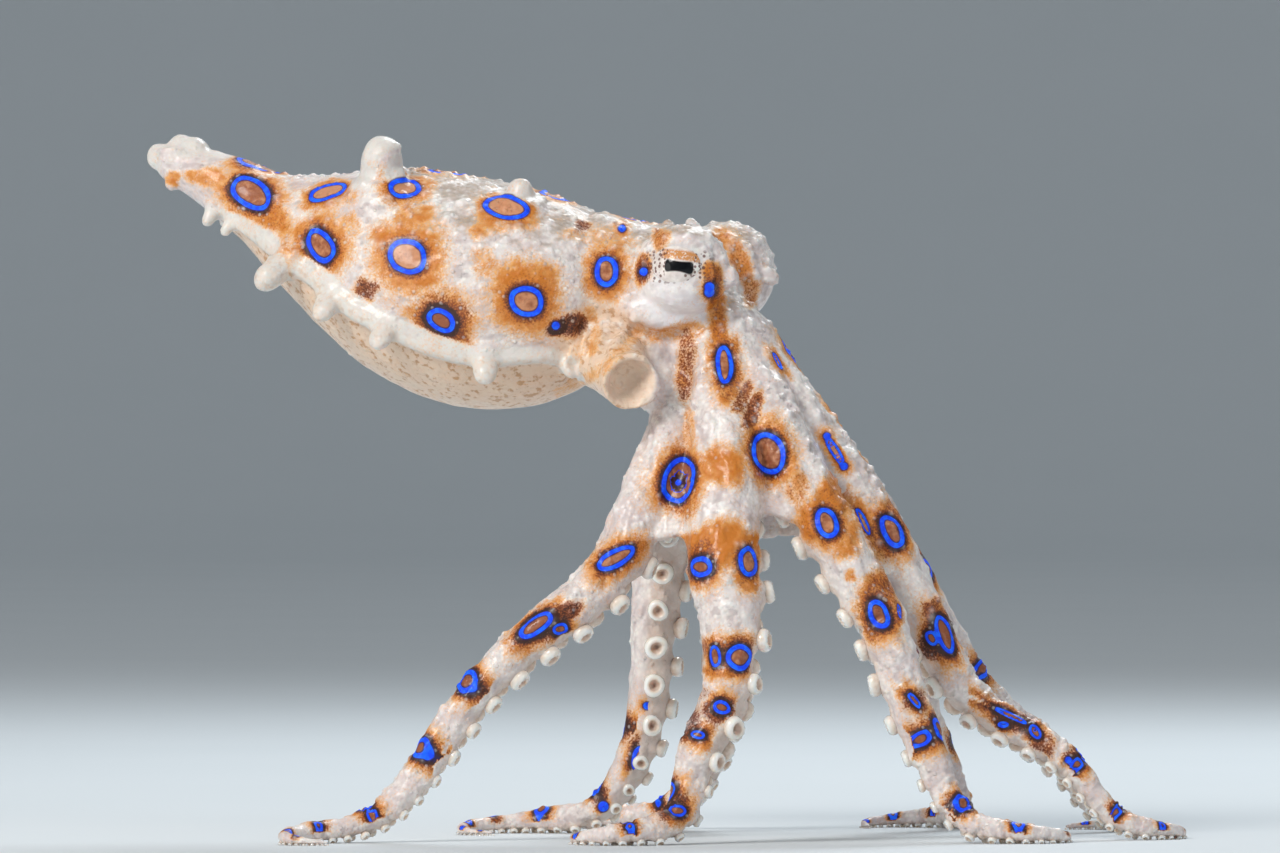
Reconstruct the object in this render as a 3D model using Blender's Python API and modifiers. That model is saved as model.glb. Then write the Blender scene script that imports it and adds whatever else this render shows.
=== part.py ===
"""A life-size blue ringed octopus, standing on its arms with the mantle held out behind its head.

The frame: x runs from the mantle's tip to the front arms, y away from the side that faces the viewer,
z up from the floor that the arms rest on. Sizes are in millimetres until the meshes are made.
"""
import math
import random

import bmesh
import bpy
import numpy as np
from mathutils import Matrix, Vector
from mathutils.bvhtree import BVHTree

MM = 0.001
UP = np.array((0.0, 0.0, 1.0))
LEVEL_AXES = np.eye(3)

# Driving sizes
NODE_GAP = 0.3
CURVE_SAMPLES = 12           # of a route's curve between two of its stations
MANTLE_WIDTH = 1.04          # of its height
HEAD_WIDTH = 1.08
FLESH_VOXEL = 0.42
FLESH_SMOOTHING = 5
FLESH_TRIANGLES = 4100
ARM_SIDES = 8
ROOT_SIDES = 14
ARM_STEP = 2.7               # between the sections of an arm
ARM_STEP_FINE = 0.1
WEB_THICKNESS = 1.1
WEB_OUTSET = 0.35            # of the arm's radius, outwards from its middle line
WEB_BOW = 0.5                # how far the web's edge is drawn in midway between two arms
WEB_CELLS = (8, 9)           # across and down
EYE_RADIUS = 2.6
EYE_SOCKET_GAP = 0.35
EYE_SEGMENTS = 16
LID_SIDES = 18
SUCKER_RIM = 0.38            # of the arm's radius, as are the next three
SUCKER_HEIGHT = 0.3
SUCKER_PITCH = 2.4           # along one row
SUCKER_ROOT = 0.3            # from the middle line to where a sucker starts
SUCKER_LEAST_RIM = 0.26
SUCKER_LEAST_PITCH = 2.7
SUCKER_NECK = 0.72           # of the rim
SUCKER_DISH = 0.35
SUCKER_SPLAY = math.radians(34)
SUCKER_VARIES = (0.92, 1.08)
SMALL_SUCKER_RIM = 0.5
FINE_SUCKER_SIDES = 8
COARSE_SUCKER_SIDES = 6
THIN_ARM = 0.4
ARM_UNDERSIDE = 0.8          # how far the flattened underside lies from the middle line
FLOOR_BITE = 0.12            # what the floor takes off the suckers that stand on it

# The mantle's middle line and its half height, from the tip to the neck
MANTLE = (
    (-35.6, 12.2, 54.2, 0.9),
    (-34.8, 11.9, 54.2, 1.5),
    (-32.0, 11.0, 53.0, 2.35),
    (-28.8, 10.2, 51.2, 3.3),
    (-25.6, 9.3, 48.9, 4.5),
    (-21.6, 8.1, 46.7, 6.5),
    (-17.6, 7.0, 45.3, 8.25),
    (-13.6, 5.9, 44.4, 9.2),
    (-9.6, 4.8, 43.6, 9.3),
    (-5.6, 3.7, 43.3, 8.75),
    (-2.4, 2.9, 43.3, 7.7),
    (-0.6, 2.4, 43.5, 6.6),
    (0.6, 2.1, 43.8, 5.2),
)
HEAD = (
    (-3.0, 3.0, 44.4, 4.6),
    (0.5, 2.2, 44.4, 5.0),
    (3.5, 1.6, 44.3, 5.2),
    (6.5, 0.9, 43.8, 4.9),
    (8.5, 0.5, 42.6, 4.1),
    (9.2, 0.3, 41.5, 3.2),
)
CROWN = (
    (6.6, 0.8, 42.8, 4.0),
    (8.2, 0.5, 40.4, 4.6),
    (9.8, 0.2, 37.6, 5.2),
    (11.2, 0.0, 34.6, 5.4),
    (11.6, 0.0, 32.4, 4.0),
)
FUNNEL = (
    (-1.5, 2.0, 40.2, 3.1),
    (0.0, -0.8, 39.0, 3.0),
    (1.3, -4.0, 37.8, 2.6),
    (2.1, -6.6, 36.8, 2.3),
    (2.5, -8.0, 36.4, 2.35),
)
FUNNEL_SIDES = 14
FUNNEL_BORE = 1.75
FUNNEL_BORE_DEPTH = 4.5
# The bore's profile: how far ahead of the funnel's end, and radius
FUNNEL_FLARE = ((2.0, FUNNEL_BORE + 0.6), (0.4, FUNNEL_BORE + 0.2), (-0.6, FUNNEL_BORE),
                (-FUNNEL_BORE_DEPTH, FUNNEL_BORE * 0.7))
FUNNEL_BLOCK = (4.2, (4.0, 3.4, 3.4))        # how far ahead of the third station, and half sizes
ARM_BLOCK = (5.0, 3.4, 3.4)                  # half sizes of what is cut off where a free arm starts
MANTLE_BLOCK = ((-30.2, 8.0, 50.0), (31.0, 30.0, 16.5))
CROWN_BLOCK = (30.0, 40.0, 40.0)
SKIRT_BLOCK = (80.0, 80.0, 40.0)
FLOOR_BLOCK = (90.0, 90.0, 20.0)

# Eyes: centre, and where the pupil looks
EYES = {
    "right": ((6.5, -4.3, 45.5), (-0.25, -0.95, 0.16)),
    "left": ((10.4, 6.1, 45.4), (0.50, 0.84, 0.16)),
}
EYE_MOUND = 3.7
MOUND_SINK = 0.6             # how far the mound's centre lies behind the eye's
EYE_OPENING = (2.3, 1.65)    # half width and half height between the lids
CHEEK = ((4.6, -2.6, 42.2), (8.6, 4.2, 42.0))
CHEEK_RADIUS = 2.3
CHEEK_STRETCH = (1.6, 1.0, 0.85)

# Each arm's middle line from the mouth to its tip, with its radius. A height of 0 lies on the floor.
ARMS = {
    "right_4": (
        (7.0, -1.6, 37.4, 2.0), (6.6, -2.8, 34.0, 2.4), (5.2, -4.2, 30.0, 2.5), (3.3, -5.6, 25.8, 2.4),
        (1.3, -6.8, 22.0, 2.15), (-1.2, -7.8, 19.2, 1.95), (-4.2, -8.6, 17.0, 1.8), (-7.2, -9.2, 14.6, 1.65),
        (-10.2, -9.7, 11.4, 1.5), (-12.8, -10.1, 7.6, 1.4), (-15.0, -10.5, 4.4, 1.25), (-17.6, -11.1, 2.0, 1.1),
        (-20.8, -12.2, 0, 0.92), (-23.6, -14.0, 0, 0.72), (-24.8, -16.4, 0, 0.54), (-23.4, -18.4, 0, 0.4),
        (-21.0, -18.6, 0, 0.25),
    ),
    "right_3": (
        (9.2, -3.4, 37.2, 2.2), (9.8, -5.0, 34.0, 2.7), (10.0, -6.9, 29.6, 3.0), (9.8, -8.8, 25.4, 3.1),
        (9.9, -10.3, 21.8, 3.0), (10.5, -11.5, 18.4, 2.7), (10.3, -12.5, 14.6, 2.2), (9.7, -13.2, 10.9, 1.95),
        (8.1, -13.8, 7.9, 1.75), (7.2, -14.4, 5.0, 1.5), (6.4, -15.4, 2.4, 1.3), (4.8, -17.0, 0, 1.1),
        (2.4, -18.2, 0, 0.88), (-0.2, -18.0, 0, 0.68), (-1.9, -16.2, 0, 0.5), (-1.6, -13.9, 0, 0.36),
        (0.0, -12.8, 0, 0.25),
    ),
    "right_2": (
        (11.6, -3.0, 37.2, 2.1), (13.4, -4.6, 34.0, 2.5), (15.4, -6.2, 29.4, 2.6), (18.0, -7.8, 25.0, 2.4),
        (20.1, -8.9, 21.2, 2.2), (22.1, -9.7, 17.8, 2.0), (23.3, -10.2, 14.8, 1.85), (24.2, -10.6, 11.8, 1.7),
        (25.3, -11.0, 9.0, 1.55), (26.3, -11.4, 6.3, 1.4), (27.5, -12.0, 3.7, 1.25), (29.3, -13.0, 1.6, 1.1),
        (31.9, -13.8, 0, 0.9), (34.7, -13.6, 0, 0.7), (36.7, -12.0, 0, 0.5), (36.9, -9.8, 0, 0.35),
        (35.4, -8.6, 0, 0.25),
    ),
    "right_1": (
        (13.4, -1.2, 37.4, 2.0), (15.4, -1.8, 34.4, 2.4), (18.0, -2.4, 30.4, 2.5), (20.8, -3.0, 26.6, 2.4),
        (23.2, -3.4, 22.6, 2.25), (25.2, -3.6, 18.8, 2.0), (27.0, -3.8, 15.2, 1.8), (29.0, -4.0, 11.9, 1.6),
        (31.7, -4.2, 9.8, 1.45), (34.6, -4.4, 8.2, 1.3), (37.2, -4.6, 6.3, 1.2), (39.2, -4.8, 3.9, 1.1),
        (41.2, -5.0, 1.7, 0.98), (43.8, -4.6, 0, 0.78), (46.0, -2.8, 0, 0.58), (46.4, -0.4, 0, 0.4),
        (44.8, 1.0, 0, 0.25),
    ),
    "left_1": (
        (13.4, 1.6, 37.4, 2.0), (15.4, 2.8, 34.4, 2.4), (18.0, 4.2, 30.4, 2.5), (20.8, 5.6, 26.6, 2.4),
        (23.4, 7.0, 22.6, 2.2), (25.8, 8.2, 18.8, 2.0), (28.0, 9.4, 15.0, 1.8), (30.2, 10.4, 11.8, 1.65),
        (32.8, 11.2, 9.4, 1.5), (35.6, 11.8, 7.4, 1.35), (38.0, 12.4, 5.0, 1.2), (39.8, 13.2, 2.6, 1.1),
        (41.6, 14.8, 0, 0.95), (42.8, 17.4, 0, 0.75), (42.0, 20.0, 0, 0.55), (39.8, 21.2, 0, 0.4),
        (37.6, 20.4, 0, 0.25),
    ),
    "left_2": (
        (11.6, 3.0, 37.2, 2.1), (13.6, 4.8, 34.0, 2.5), (16.2, 7.2, 29.8, 2.6), (19.2, 9.6, 25.6, 2.4),
        (21.6, 11.6, 21.4, 2.2), (23.4, 13.4, 17.4, 2.0), (24.8, 15.0, 13.4, 1.85), (26.0, 16.6, 9.8, 1.65),
        (27.2, 18.2, 6.6, 1.5), (28.4, 20.0, 3.8, 1.3), (29.2, 22.2, 1.8, 1.15), (28.6, 24.8, 0, 0.95),
        (26.4, 26.6, 0, 0.75), (23.6, 26.8, 0, 0.55), (21.6, 25.2, 0, 0.4), (22.0, 23.2, 0, 0.25),
    ),
    "left_3": (
        (9.2, 3.4, 37.2, 2.1), (9.9, 5.2, 34.0, 2.5), (9.8, 7.6, 29.4, 2.6), (9.6, 9.8, 25.0, 2.4),
        (9.8, 11.8, 20.8, 2.2), (10.2, 13.6, 16.6, 2.0), (10.2, 15.2, 12.6, 1.8), (9.6, 16.8, 9.0, 1.6),
        (8.6, 18.6, 5.8, 1.45), (7.2, 20.6, 3.2, 1.25), (5.0, 22.6, 1.4, 1.1), (2.0, 23.8, 0, 0.92),
        (-1.0, 23.4, 0, 0.72), (-3.2, 21.6, 0, 0.54), (-3.4, 19.2, 0, 0.4), (-1.6, 18.0, 0, 0.25),
    ),
    "left_4": (
        (7.0, 1.8, 37.4, 2.0), (6.8, 3.2, 34.0, 2.4), (6.3, 4.8, 30.0, 2.5), (5.7, 6.2, 25.8, 2.4),
        (5.0, 7.4, 21.8, 2.15), (4.5, 8.2, 18.0, 2.0), (4.2, 8.6, 14.2, 1.8), (3.9, 8.8, 10.6, 1.65),
        (3.2, 9.0, 7.2, 1.5), (1.8, 9.6, 4.2, 1.35), (-0.4, 10.6, 1.8, 1.2), (-3.6, 11.8, 0, 1.0),
        (-7.0, 12.0, 0, 0.8), (-9.8, 10.8, 0, 0.62), (-11.2, 8.4, 0, 0.46), (-10.2, 6.2, 0, 0.33),
        (-8.2, 5.6, 0, 0.25),
    ),
}
# How far an arm is twisted, so that its suckers show beside it, and between which heights that comes
ARM_TURNS = {"right_3": math.radians(62)}
TURN_HEIGHTS = (27.0, 20.0)
FLOOR_HEIGHTS = (7.0, 3.0)           # between these the suckers turn down to the floor
ARM_RING = ("right_4", "right_3", "right_2", "right_1", "left_1", "left_2", "left_3", "left_4")
ARM_PARTS = ("base", "middle", "tip")
ARM_PART_ENDS = (0.36, 0.70, 1.0)   # of the free arm

# Height of the web's edge in the middle between one arm of ARM_RING and the next
WEB_EDGE = (24.2, 25.9, 21.0, 22.3, 21.8, 24.2, 21.0, 23.2)
WEB_TOP = 34.6
ARM_LEAVES_CROWN = 20.2             # height at which an arm is cut from the crown
ROOT_OVERRUN = 2.5                  # how far an arm's root reaches past that cut before it is made
MOUTH = (11.6, 0.0, -12.0)          # the suckers turn towards this point under the mouth
SKIRT_TOP = 30.8                    # height of the cut between the crown and the arms' roots
SKIRT_MIDDLE = 25.0
FIRST_SUCKER = 28.0                 # height of each arm's first sucker inside the skirt
SKIRT_REACH = 30.0

# Papillae: where they are seen from the side (x, z), length, radius, and which way they lean
PAPILLAE = (
    ((-17.6, 52.7), 3.3, 1.65, (0.0, -0.15, 1.0)),
    ((-6.4, 51.2), 1.5, 1.0, (0.0, -0.15, 1.0)),
    ((-31.2, 50.3), 1.2, 0.55, (-0.5, -0.4, -0.75)),
    ((-29.7, 49.4), 1.2, 0.5, (-0.5, -0.4, -0.75)),
    ((-25.2, 46.4), 2.8, 0.95, (-0.55, -0.5, -0.65)),
    ((-21.4, 43.2), 2.1, 0.85, (-0.35, -0.7, -0.6)),
    ((-17.0, 40.8), 1.9, 0.85, (-0.2, -0.75, -0.65)),
    ((-9.1, 38.4), 1.8, 0.85, (0.1, -0.6, -0.8)),
    ((-2.4, 38.2), 1.1, 0.7, (0.3, -0.7, -0.65)),
)
RIDGE = ((-30.2, 49.9), (-28.0, 48.6), (-25.1, 46.8), (-22.4, 45.0), (-19.8, 42.7), (-17.0, 41.1),
         (-13.5, 39.5), (-9.6, 38.5), (-4.9, 38.6), (-2.4, 38.2))
RIDGE_RADIUS = 0.75
RIDGE_SIDES = 8
PAPILLA_PROFILE = ((-1.2, 1.25), (0.0, 1.1), (0.35, 0.8), (0.7, 0.72), (0.9, 0.6), (1.0, 0.28))
PAPILLA_SIDES = 12
CREST_LEAN = 0.9             # papillae that point up more than this stand on the crest, and have no twin
TAIL_KNOBS = (((-35.4, 12.1, 54.9), 1.15), ((-33.6, 11.6, 55.3), 1.2), ((-31.8, 11.1, 54.8), 1.15))
HEAD_HORNS = (
    ((5.4, 0.6, 48.6), (0.0, -0.1, 1.0), 1.0, 0.6),
    ((7.4, 2.2, 48.0), (-0.1, 0.2, 1.0), 1.5, 0.65),
    ((9.2, -3.8, 45.0), (0.9, -0.3, -0.3), 2.0, 0.75),
)

COLOURS = {
    "skin": ((0.86, 0.80, 0.74, 1.0), 0.38),
    "belly": ((0.84, 0.70, 0.56, 1.0), 0.40),
    "eye": ((0.80, 0.74, 0.70, 1.0), 0.12),
}


def smooth_route(stations, step):
    """Points and radii at even steps along a Catmull-Rom curve through (x, y, z, radius) stations."""
    p = np.array(stations, float)
    p = np.vstack((2 * p[0] - p[1], p, 2 * p[-1] - p[-2]))
    dense = []
    for a, b, c, d in zip(p, p[1:], p[2:], p[3:]):
        for t in np.linspace(0, 1, CURVE_SAMPLES, endpoint=False):
            dense.append(0.5 * (2 * b + (c - a) * t + (2 * a - 5 * b + 4 * c - d) * t * t
                                + (3 * b - a - 3 * c + d) * t ** 3))
    dense.append(p[-2])
    dense = np.array(dense)
    along = np.concatenate(([0], np.cumsum(np.linalg.norm(np.diff(dense[:, :3], axis=0), axis=1))))
    wanted = np.linspace(0, along[-1], max(3, round(along[-1] / step)) + 1)
    return np.stack([np.interp(wanted, along, dense[:, k]) for k in range(4)], axis=1)


def unit(v):
    return v / max(np.linalg.norm(v), 1e-9)


def tangents(route):
    return np.array([unit(v) for v in np.gradient(route[:, :3], axis=0)])


def section(centre, side, up, half_side, half_up, count, flat_under=1.0):
    """One ring of a loft: an ellipse, whose half on the side of up may be flatter."""
    ring = []
    for k in range(count):
        a = 2 * math.pi * k / count
        rise = math.sin(a)
        ring.append(centre + side * half_side * math.cos(a)
                    + up * half_up * rise * (flat_under if rise > 0 else 1.0))
    return ring


def loft(name, rings):
    """A closed mesh object through rings of equally many points, in millimetres, with a cap at each end."""
    bm = bmesh.new()
    rows = [[bm.verts.new(Vector(p) * MM) for p in ring] for ring in rings]
    count = len(rows[0])
    for low, high in zip(rows, rows[1:]):
        for k in range(count):
            n = (k + 1) % count
            bm.faces.new((low[k], low[n], high[n], high[k]))
    bm.faces.new(rows[0][::-1])
    bm.faces.new(rows[-1])
    bm.normal_update()
    bmesh.ops.recalc_face_normals(bm, faces=bm.faces)
    return mesh_object(name, bm)


def mesh_object(name, bm):
    mesh = bpy.data.meshes.new(name)
    bm.to_mesh(mesh)
    bm.free()
    obj = bpy.data.objects.new(name, mesh)
    bpy.context.scene.collection.objects.link(obj)
    return obj


def ball(centre, radius, name="ball", segments=20, stretch=(1, 1, 1)):
    bm = bmesh.new()
    bmesh.ops.create_uvsphere(bm, u_segments=segments, v_segments=segments // 2, radius=radius * MM)
    for v in bm.verts:
        v.co = Vector([v.co[k] * stretch[k] for k in range(3)]) + Vector(centre) * MM
    return mesh_object(name, bm)


def upright_loft(name, stations, width, step, count):
    """A loft whose sections stand upright across its way, for the mantle and the head."""
    route = smooth_route(stations, step)
    rings = []
    for point, tangent in zip(route, tangents(route)):
        side = unit(np.cross(tangent, UP))
        rings.append(section(point[:3], side, UP, point[3] * width, point[3], count))
    return loft(name, rings)


def square_loft(name, stations, step, count):
    """A loft with round sections square to its way, for the crown and the funnel."""
    route = smooth_route(stations, step)
    rings = []
    for point, tangent in zip(route, tangents(route)):
        across = (0.0, 1.0, 0.0) if abs(tangent[1]) < 0.5 else (1.0, 0.0, 0.0)
        side = unit(np.cross(tangent, across))
        rings.append(section(point[:3], side, np.cross(tangent, side), point[3], point[3], count))
    return loft(name, rings)


def rest_height(radius):
    """Height of an arm's middle line where it lies on its suckers on the floor."""
    reach = (1 + SUCKER_HEIGHT) * math.cos(SUCKER_SPLAY) + SUCKER_RIM * math.sin(SUCKER_SPLAY)
    return radius * reach - FLOOR_BITE


def arm_route(name):
    stations = [(x, y, max(z, rest_height(r)), r) for x, y, z, r in ARMS[name]]
    route = smooth_route(stations, ARM_STEP_FINE)
    route[:, 2] = np.maximum(route[:, 2], rest_height(route[:, 3]))
    return route


def picked(low, high, step):
    """Indices of a fine route from low to high, about a step apart."""
    count = max(3, round((high - low) * ARM_STEP_FINE / step)) + 1
    return np.unique(np.linspace(low, high, count).astype(int))


def ramp(value, start, end):
    """0 at start, 1 at end, and straight between."""
    return min(1.0, max(0.0, (value - start) / (end - start)))


def sucker_side(point, tangent, turn):
    """The way the suckers face: towards the mouth's axis, turned on a twisted arm, down near the floor."""
    inward = unit(np.array(MOUTH) - point[:3])
    inward = unit(inward - tangent * float(inward @ tangent))
    angle = turn * ramp(point[2], *TURN_HEIGHTS)
    inward = inward * math.cos(angle) + np.cross(tangent, inward) * math.sin(angle)
    near_floor = ramp(point[2], *FLOOR_HEIGHTS)
    facing = inward * (1 - near_floor) - UP * near_floor
    return unit(facing - tangent * float(facing @ tangent))


def arm_rings(route, ways, count, turn):
    rings = []
    for point, tangent in zip(route, ways):
        under = sucker_side(point, tangent, turn)
        side = np.cross(tangent, under)
        rings.append(section(point[:3], side, under, point[3], point[3], count, flat_under=ARM_UNDERSIDE))
    return rings


def split_at_height(route, height):
    """Index of the first point of an arm's route below a height."""
    return int(np.argmax(route[:, 2] < height))


def web_panel(first, second, edge_height):
    """The skin between two arms, from the crown down to an arched edge, as a closed sheet."""
    across, down = WEB_CELLS
    tops = place_at_height(first, WEB_TOP) + place_at_height(second, WEB_TOP)
    outward = unit((tops - 2 * np.array(MOUTH)) * (1, 1, 0))
    rows = []
    for v in np.linspace(0, 1, down + 1):
        row = []
        for u in np.linspace(0, 1, across + 1):
            arch = 1 - (2 * u - 1) ** 2
            low = ARM_LEAVES_CROWN + (edge_height - ARM_LEAVES_CROWN) * arch ** 0.6
            z = WEB_TOP + (low - WEB_TOP) * v
            ends = []
            for route in (first, second):
                at = [np.interp(-z, -route[:, 2], route[:, k]) for k in (0, 1, 3)]
                ends.append(np.array((at[0], at[1], z)) + outward * at[2] * WEB_OUTSET)
            row.append(ends[0] * (1 - u) + ends[1] * u - outward * WEB_BOW * arch * v)
        rows.append(row)
    bm = bmesh.new()
    grid = [[bm.verts.new(Vector(p) * MM) for p in row] for row in rows]
    for low, high in zip(grid, grid[1:]):
        for k in range(across):
            bm.faces.new((low[k], low[k + 1], high[k + 1], high[k]))
    sheet = mesh_object("web", bm)
    solid = sheet.modifiers.new("Thickness", "SOLIDIFY")
    solid.thickness = WEB_THICKNESS * MM
    solid.offset = 0
    return sheet


def papilla(root, way, length, radius, name="papilla"):
    """A soft point with a round end, its root sunk in what it grows from."""
    way = unit(np.array(way, float))
    side = unit(np.cross(way, (0.31, 0.95, 0.1)))
    up = np.cross(way, side)
    rings = []
    for along, size in PAPILLA_PROFILE:
        centre = np.array(root) + way * length * along
        rings.append(section(centre, side, up, radius * size, radius * size, PAPILLA_SIDES))
    return loft(name, rings)


def joined(name, objects):
    """One mesh object that holds the evaluated meshes of several, which are then removed."""
    bm = bmesh.new()
    graph = bpy.context.evaluated_depsgraph_get()
    for obj in objects:
        mesh = bpy.data.meshes.new_from_object(obj.evaluated_get(graph))
        mesh.transform(obj.matrix_world)
        bm.from_mesh(mesh)
        bpy.data.meshes.remove(mesh)
    for obj in objects:
        bpy.data.objects.remove(obj)
    return mesh_object(name, bm)


def apply_modifiers(obj):
    graph = bpy.context.evaluated_depsgraph_get()
    mesh = bpy.data.meshes.new_from_object(obj.evaluated_get(graph))
    obj.modifiers.clear()
    obj.data = mesh
    return obj


def side_finder(obj):
    """A function from (x, z) to the point and normal that the viewer sees there."""
    tree = BVHTree.FromObject(obj, bpy.context.evaluated_depsgraph_get())

    def seen(x, z):
        point, normal, _, _ = tree.ray_cast(Vector((x, -60, z)) * MM, Vector((0, 1, 0)))
        return np.array(point) / MM, np.array(normal)
    return seen


def mirrored_over_mantle(vector, is_place=True):
    """The same place or way on the mantle's other side, across the upright plane of its middle line."""
    tail, neck = np.array(MANTLE[0][:3]), np.array(MANTLE[-1][:3])
    along = neck - tail
    across = unit(np.array((-along[1], along[0], 0.0)))
    start = tail if is_place else np.zeros(3)
    return vector - 2 * float((vector - start) @ across) * across


def mantle_forms(mantle):
    """The ridge along each side of the mantle, its papillae, the crest's papillae and the tail's knobs."""
    seen = side_finder(mantle)
    made = []
    for flip in (False, True):
        line = []
        for x, z in RIDGE:
            point, _ = seen(x, z)
            line.append((*(mirrored_over_mantle(point) if flip else point), RIDGE_RADIUS))
        route = smooth_route(line, 1.2)
        route[:, 3] *= np.sin(np.linspace(0.25, math.pi - 0.25, len(route))) ** 0.4
        rings = []
        for point, tangent in zip(route, tangents(route)):
            side = unit(np.cross(tangent, UP))
            up = np.cross(side, tangent)
            rings.append(section(point[:3], side, up, point[3] * 1.2, point[3] * 0.7, RIDGE_SIDES))
        made.append(loft("ridge", rings))
        for (x, z), length, radius, lean in PAPILLAE:
            point, _ = seen(x, z)
            way = np.array(lean)
            if flip:
                point = mirrored_over_mantle(point)
                way = mirrored_over_mantle(way, is_place=False)
            if flip and way[2] > CREST_LEAN:
                continue
            made.append(papilla(point, way, length, radius))
    made += [ball(centre, radius) for centre, radius in TAIL_KNOBS]
    return made


def eye_mounds():
    made = []
    for centre, look in EYES.values():
        made.append(ball(np.array(centre) - unit(np.array(look)) * MOUND_SINK, EYE_MOUND, segments=24))
    made += [papilla(root, way, length, radius) for root, way, length, radius in HEAD_HORNS]
    return made


def whole_flesh(routes):
    """Mantle, head, funnel, crown and web grown together as one smooth skin."""
    mantle = upright_loft("mantle_form", MANTLE, MANTLE_WIDTH, 1.5, 28)
    pieces = [mantle, *mantle_forms(mantle), *eye_mounds()]
    pieces.append(upright_loft("head_form", HEAD, HEAD_WIDTH, 1.5, 24))
    pieces.append(square_loft("crown_form", CROWN, 1.5, 24))
    pieces.append(square_loft("funnel_form", FUNNEL, 1.0, 20))
    pieces += [ball(centre, CHEEK_RADIUS, stretch=CHEEK_STRETCH) for centre in CHEEK]
    for name, route in routes.items():
        picks = picked(0, split_at_height(route, ARM_LEAVES_CROWN - ROOT_OVERRUN), 1.0)
        rings = arm_rings(route[picks], tangents(route)[picks], ROOT_SIDES, ARM_TURNS.get(name, 0.0))
        pieces.append(loft("root_" + name, rings))
    for k, edge in enumerate(WEB_EDGE):
        first, second = ARM_RING[k], ARM_RING[(k + 1) % len(ARM_RING)]
        pieces.append(web_panel(routes[first], routes[second], edge))
    flesh = joined("flesh", pieces)
    remesh = flesh.modifiers.new("Skin", "REMESH")
    remesh.mode = "VOXEL"
    remesh.voxel_size = FLESH_VOXEL * MM
    smooth = flesh.modifiers.new("Soften", "SMOOTH")
    smooth.iterations = FLESH_SMOOTHING
    apply_modifiers(flesh)
    flesh.data.calc_loop_triangles()
    fewer = flesh.modifiers.new("Fewer faces", "DECIMATE")
    fewer.ratio = FLESH_TRIANGLES / len(flesh.data.loop_triangles)
    return apply_modifiers(flesh)


def block(name, centre, ways, half_sizes):
    """A box on its own axes, for cutting. ways are its three directions, right-handed."""
    bm = bmesh.new()
    bmesh.ops.create_cube(bm, size=2)
    for v in bm.verts:
        v.co = Vector(centre) * MM + sum((Vector(way) * v.co[k] * half_sizes[k] * MM
                                          for k, way in enumerate(ways)), Vector())
    bm.normal_update()
    return mesh_object(name, bm)


def boolean(obj, cutter, operation):
    """One applied Boolean. The exact solver loses some of these cuts through thin skin."""
    cut = obj.modifiers.new(operation, "BOOLEAN")
    cut.object = cutter
    cut.operation = operation
    cut.solver = "MANIFOLD"
    return apply_modifiers(obj)


def loose_groups(bm):
    """The vertices of each closed surface in a mesh, the largest surface last."""
    left, groups = set(bm.verts), []
    while left:
        group, edge = [], [left.pop()]
        while edge:
            v = edge.pop()
            group.append(v)
            for e in v.link_edges:
                other = e.other_vert(v)
                if other in left:
                    left.remove(other)
                    edge.append(other)
        groups.append(group)
    return sorted(groups, key=len)


def keep_largest(obj):
    """Drops loose scraps that a cut leaves, so that the node is one closed body."""
    bm = bmesh.new()
    bm.from_mesh(obj.data)
    for group in loose_groups(bm)[:-1]:
        bmesh.ops.delete(bm, geom=group, context="VERTS")
    bm.to_mesh(obj.data)
    bm.free()
    return obj


def copy_of(obj, name):
    new = bpy.data.objects.new(name, obj.data.copy())
    bpy.context.scene.collection.objects.link(new)
    return new


def place_at_height(route, height):
    """Where an arm's middle line passes a height."""
    return route[split_at_height(route, height), :3]


def root_nodes(skirt, routes):
    """The web and the arms' roots under the mouth, parted midway between the arms."""
    axis = np.array((*MOUTH[:2], SKIRT_MIDDLE))
    spokes = [unit((place_at_height(routes[name], SKIRT_MIDDLE) - axis) * (1, 1, 0)) for name in ARM_RING]
    half_sizes = (2 * SKIRT_REACH, SKIRT_REACH, SKIRT_REACH)
    nodes = []
    for k, name in enumerate(ARM_RING):
        node = copy_of(skirt, f"arm_{name}_root")
        for other, sign in ((k - 1, -1), ((k + 1) % len(ARM_RING), 1)):
            way = unit(spokes[k] + spokes[other])
            across = np.cross(UP, way)
            centre = axis + across * sign * (SKIRT_REACH - NODE_GAP / 2)
            beyond = block("beyond", centre, (way, across, UP), half_sizes)
            boolean(node, beyond, "DIFFERENCE")
            bpy.data.objects.remove(beyond)
        nodes.append(keep_largest(node))
    bpy.data.objects.remove(skirt)
    return nodes


def parted(rest, name, centre, ways, half_sizes):
    """Takes the node inside a block out of the rest, with a thin gap between the two."""
    inner = block("inner", centre, ways, half_sizes)
    outer = block("outer", centre, ways, [h + NODE_GAP for h in half_sizes])
    node = keep_largest(boolean(copy_of(rest, name), inner, "INTERSECT"))
    boolean(rest, outer, "DIFFERENCE")
    for cutter in (inner, outer):
        bpy.data.objects.remove(cutter)
    return node


def frame_on(way):
    """Three directions, the first along way."""
    first = unit(np.array(way, float))
    second = np.cross(UP, first) if abs(first[2]) < 0.95 else np.array((0.0, 1.0, 0.0))
    second = unit(second - first * float(second @ first))
    return first, second, np.cross(first, second)


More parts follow.
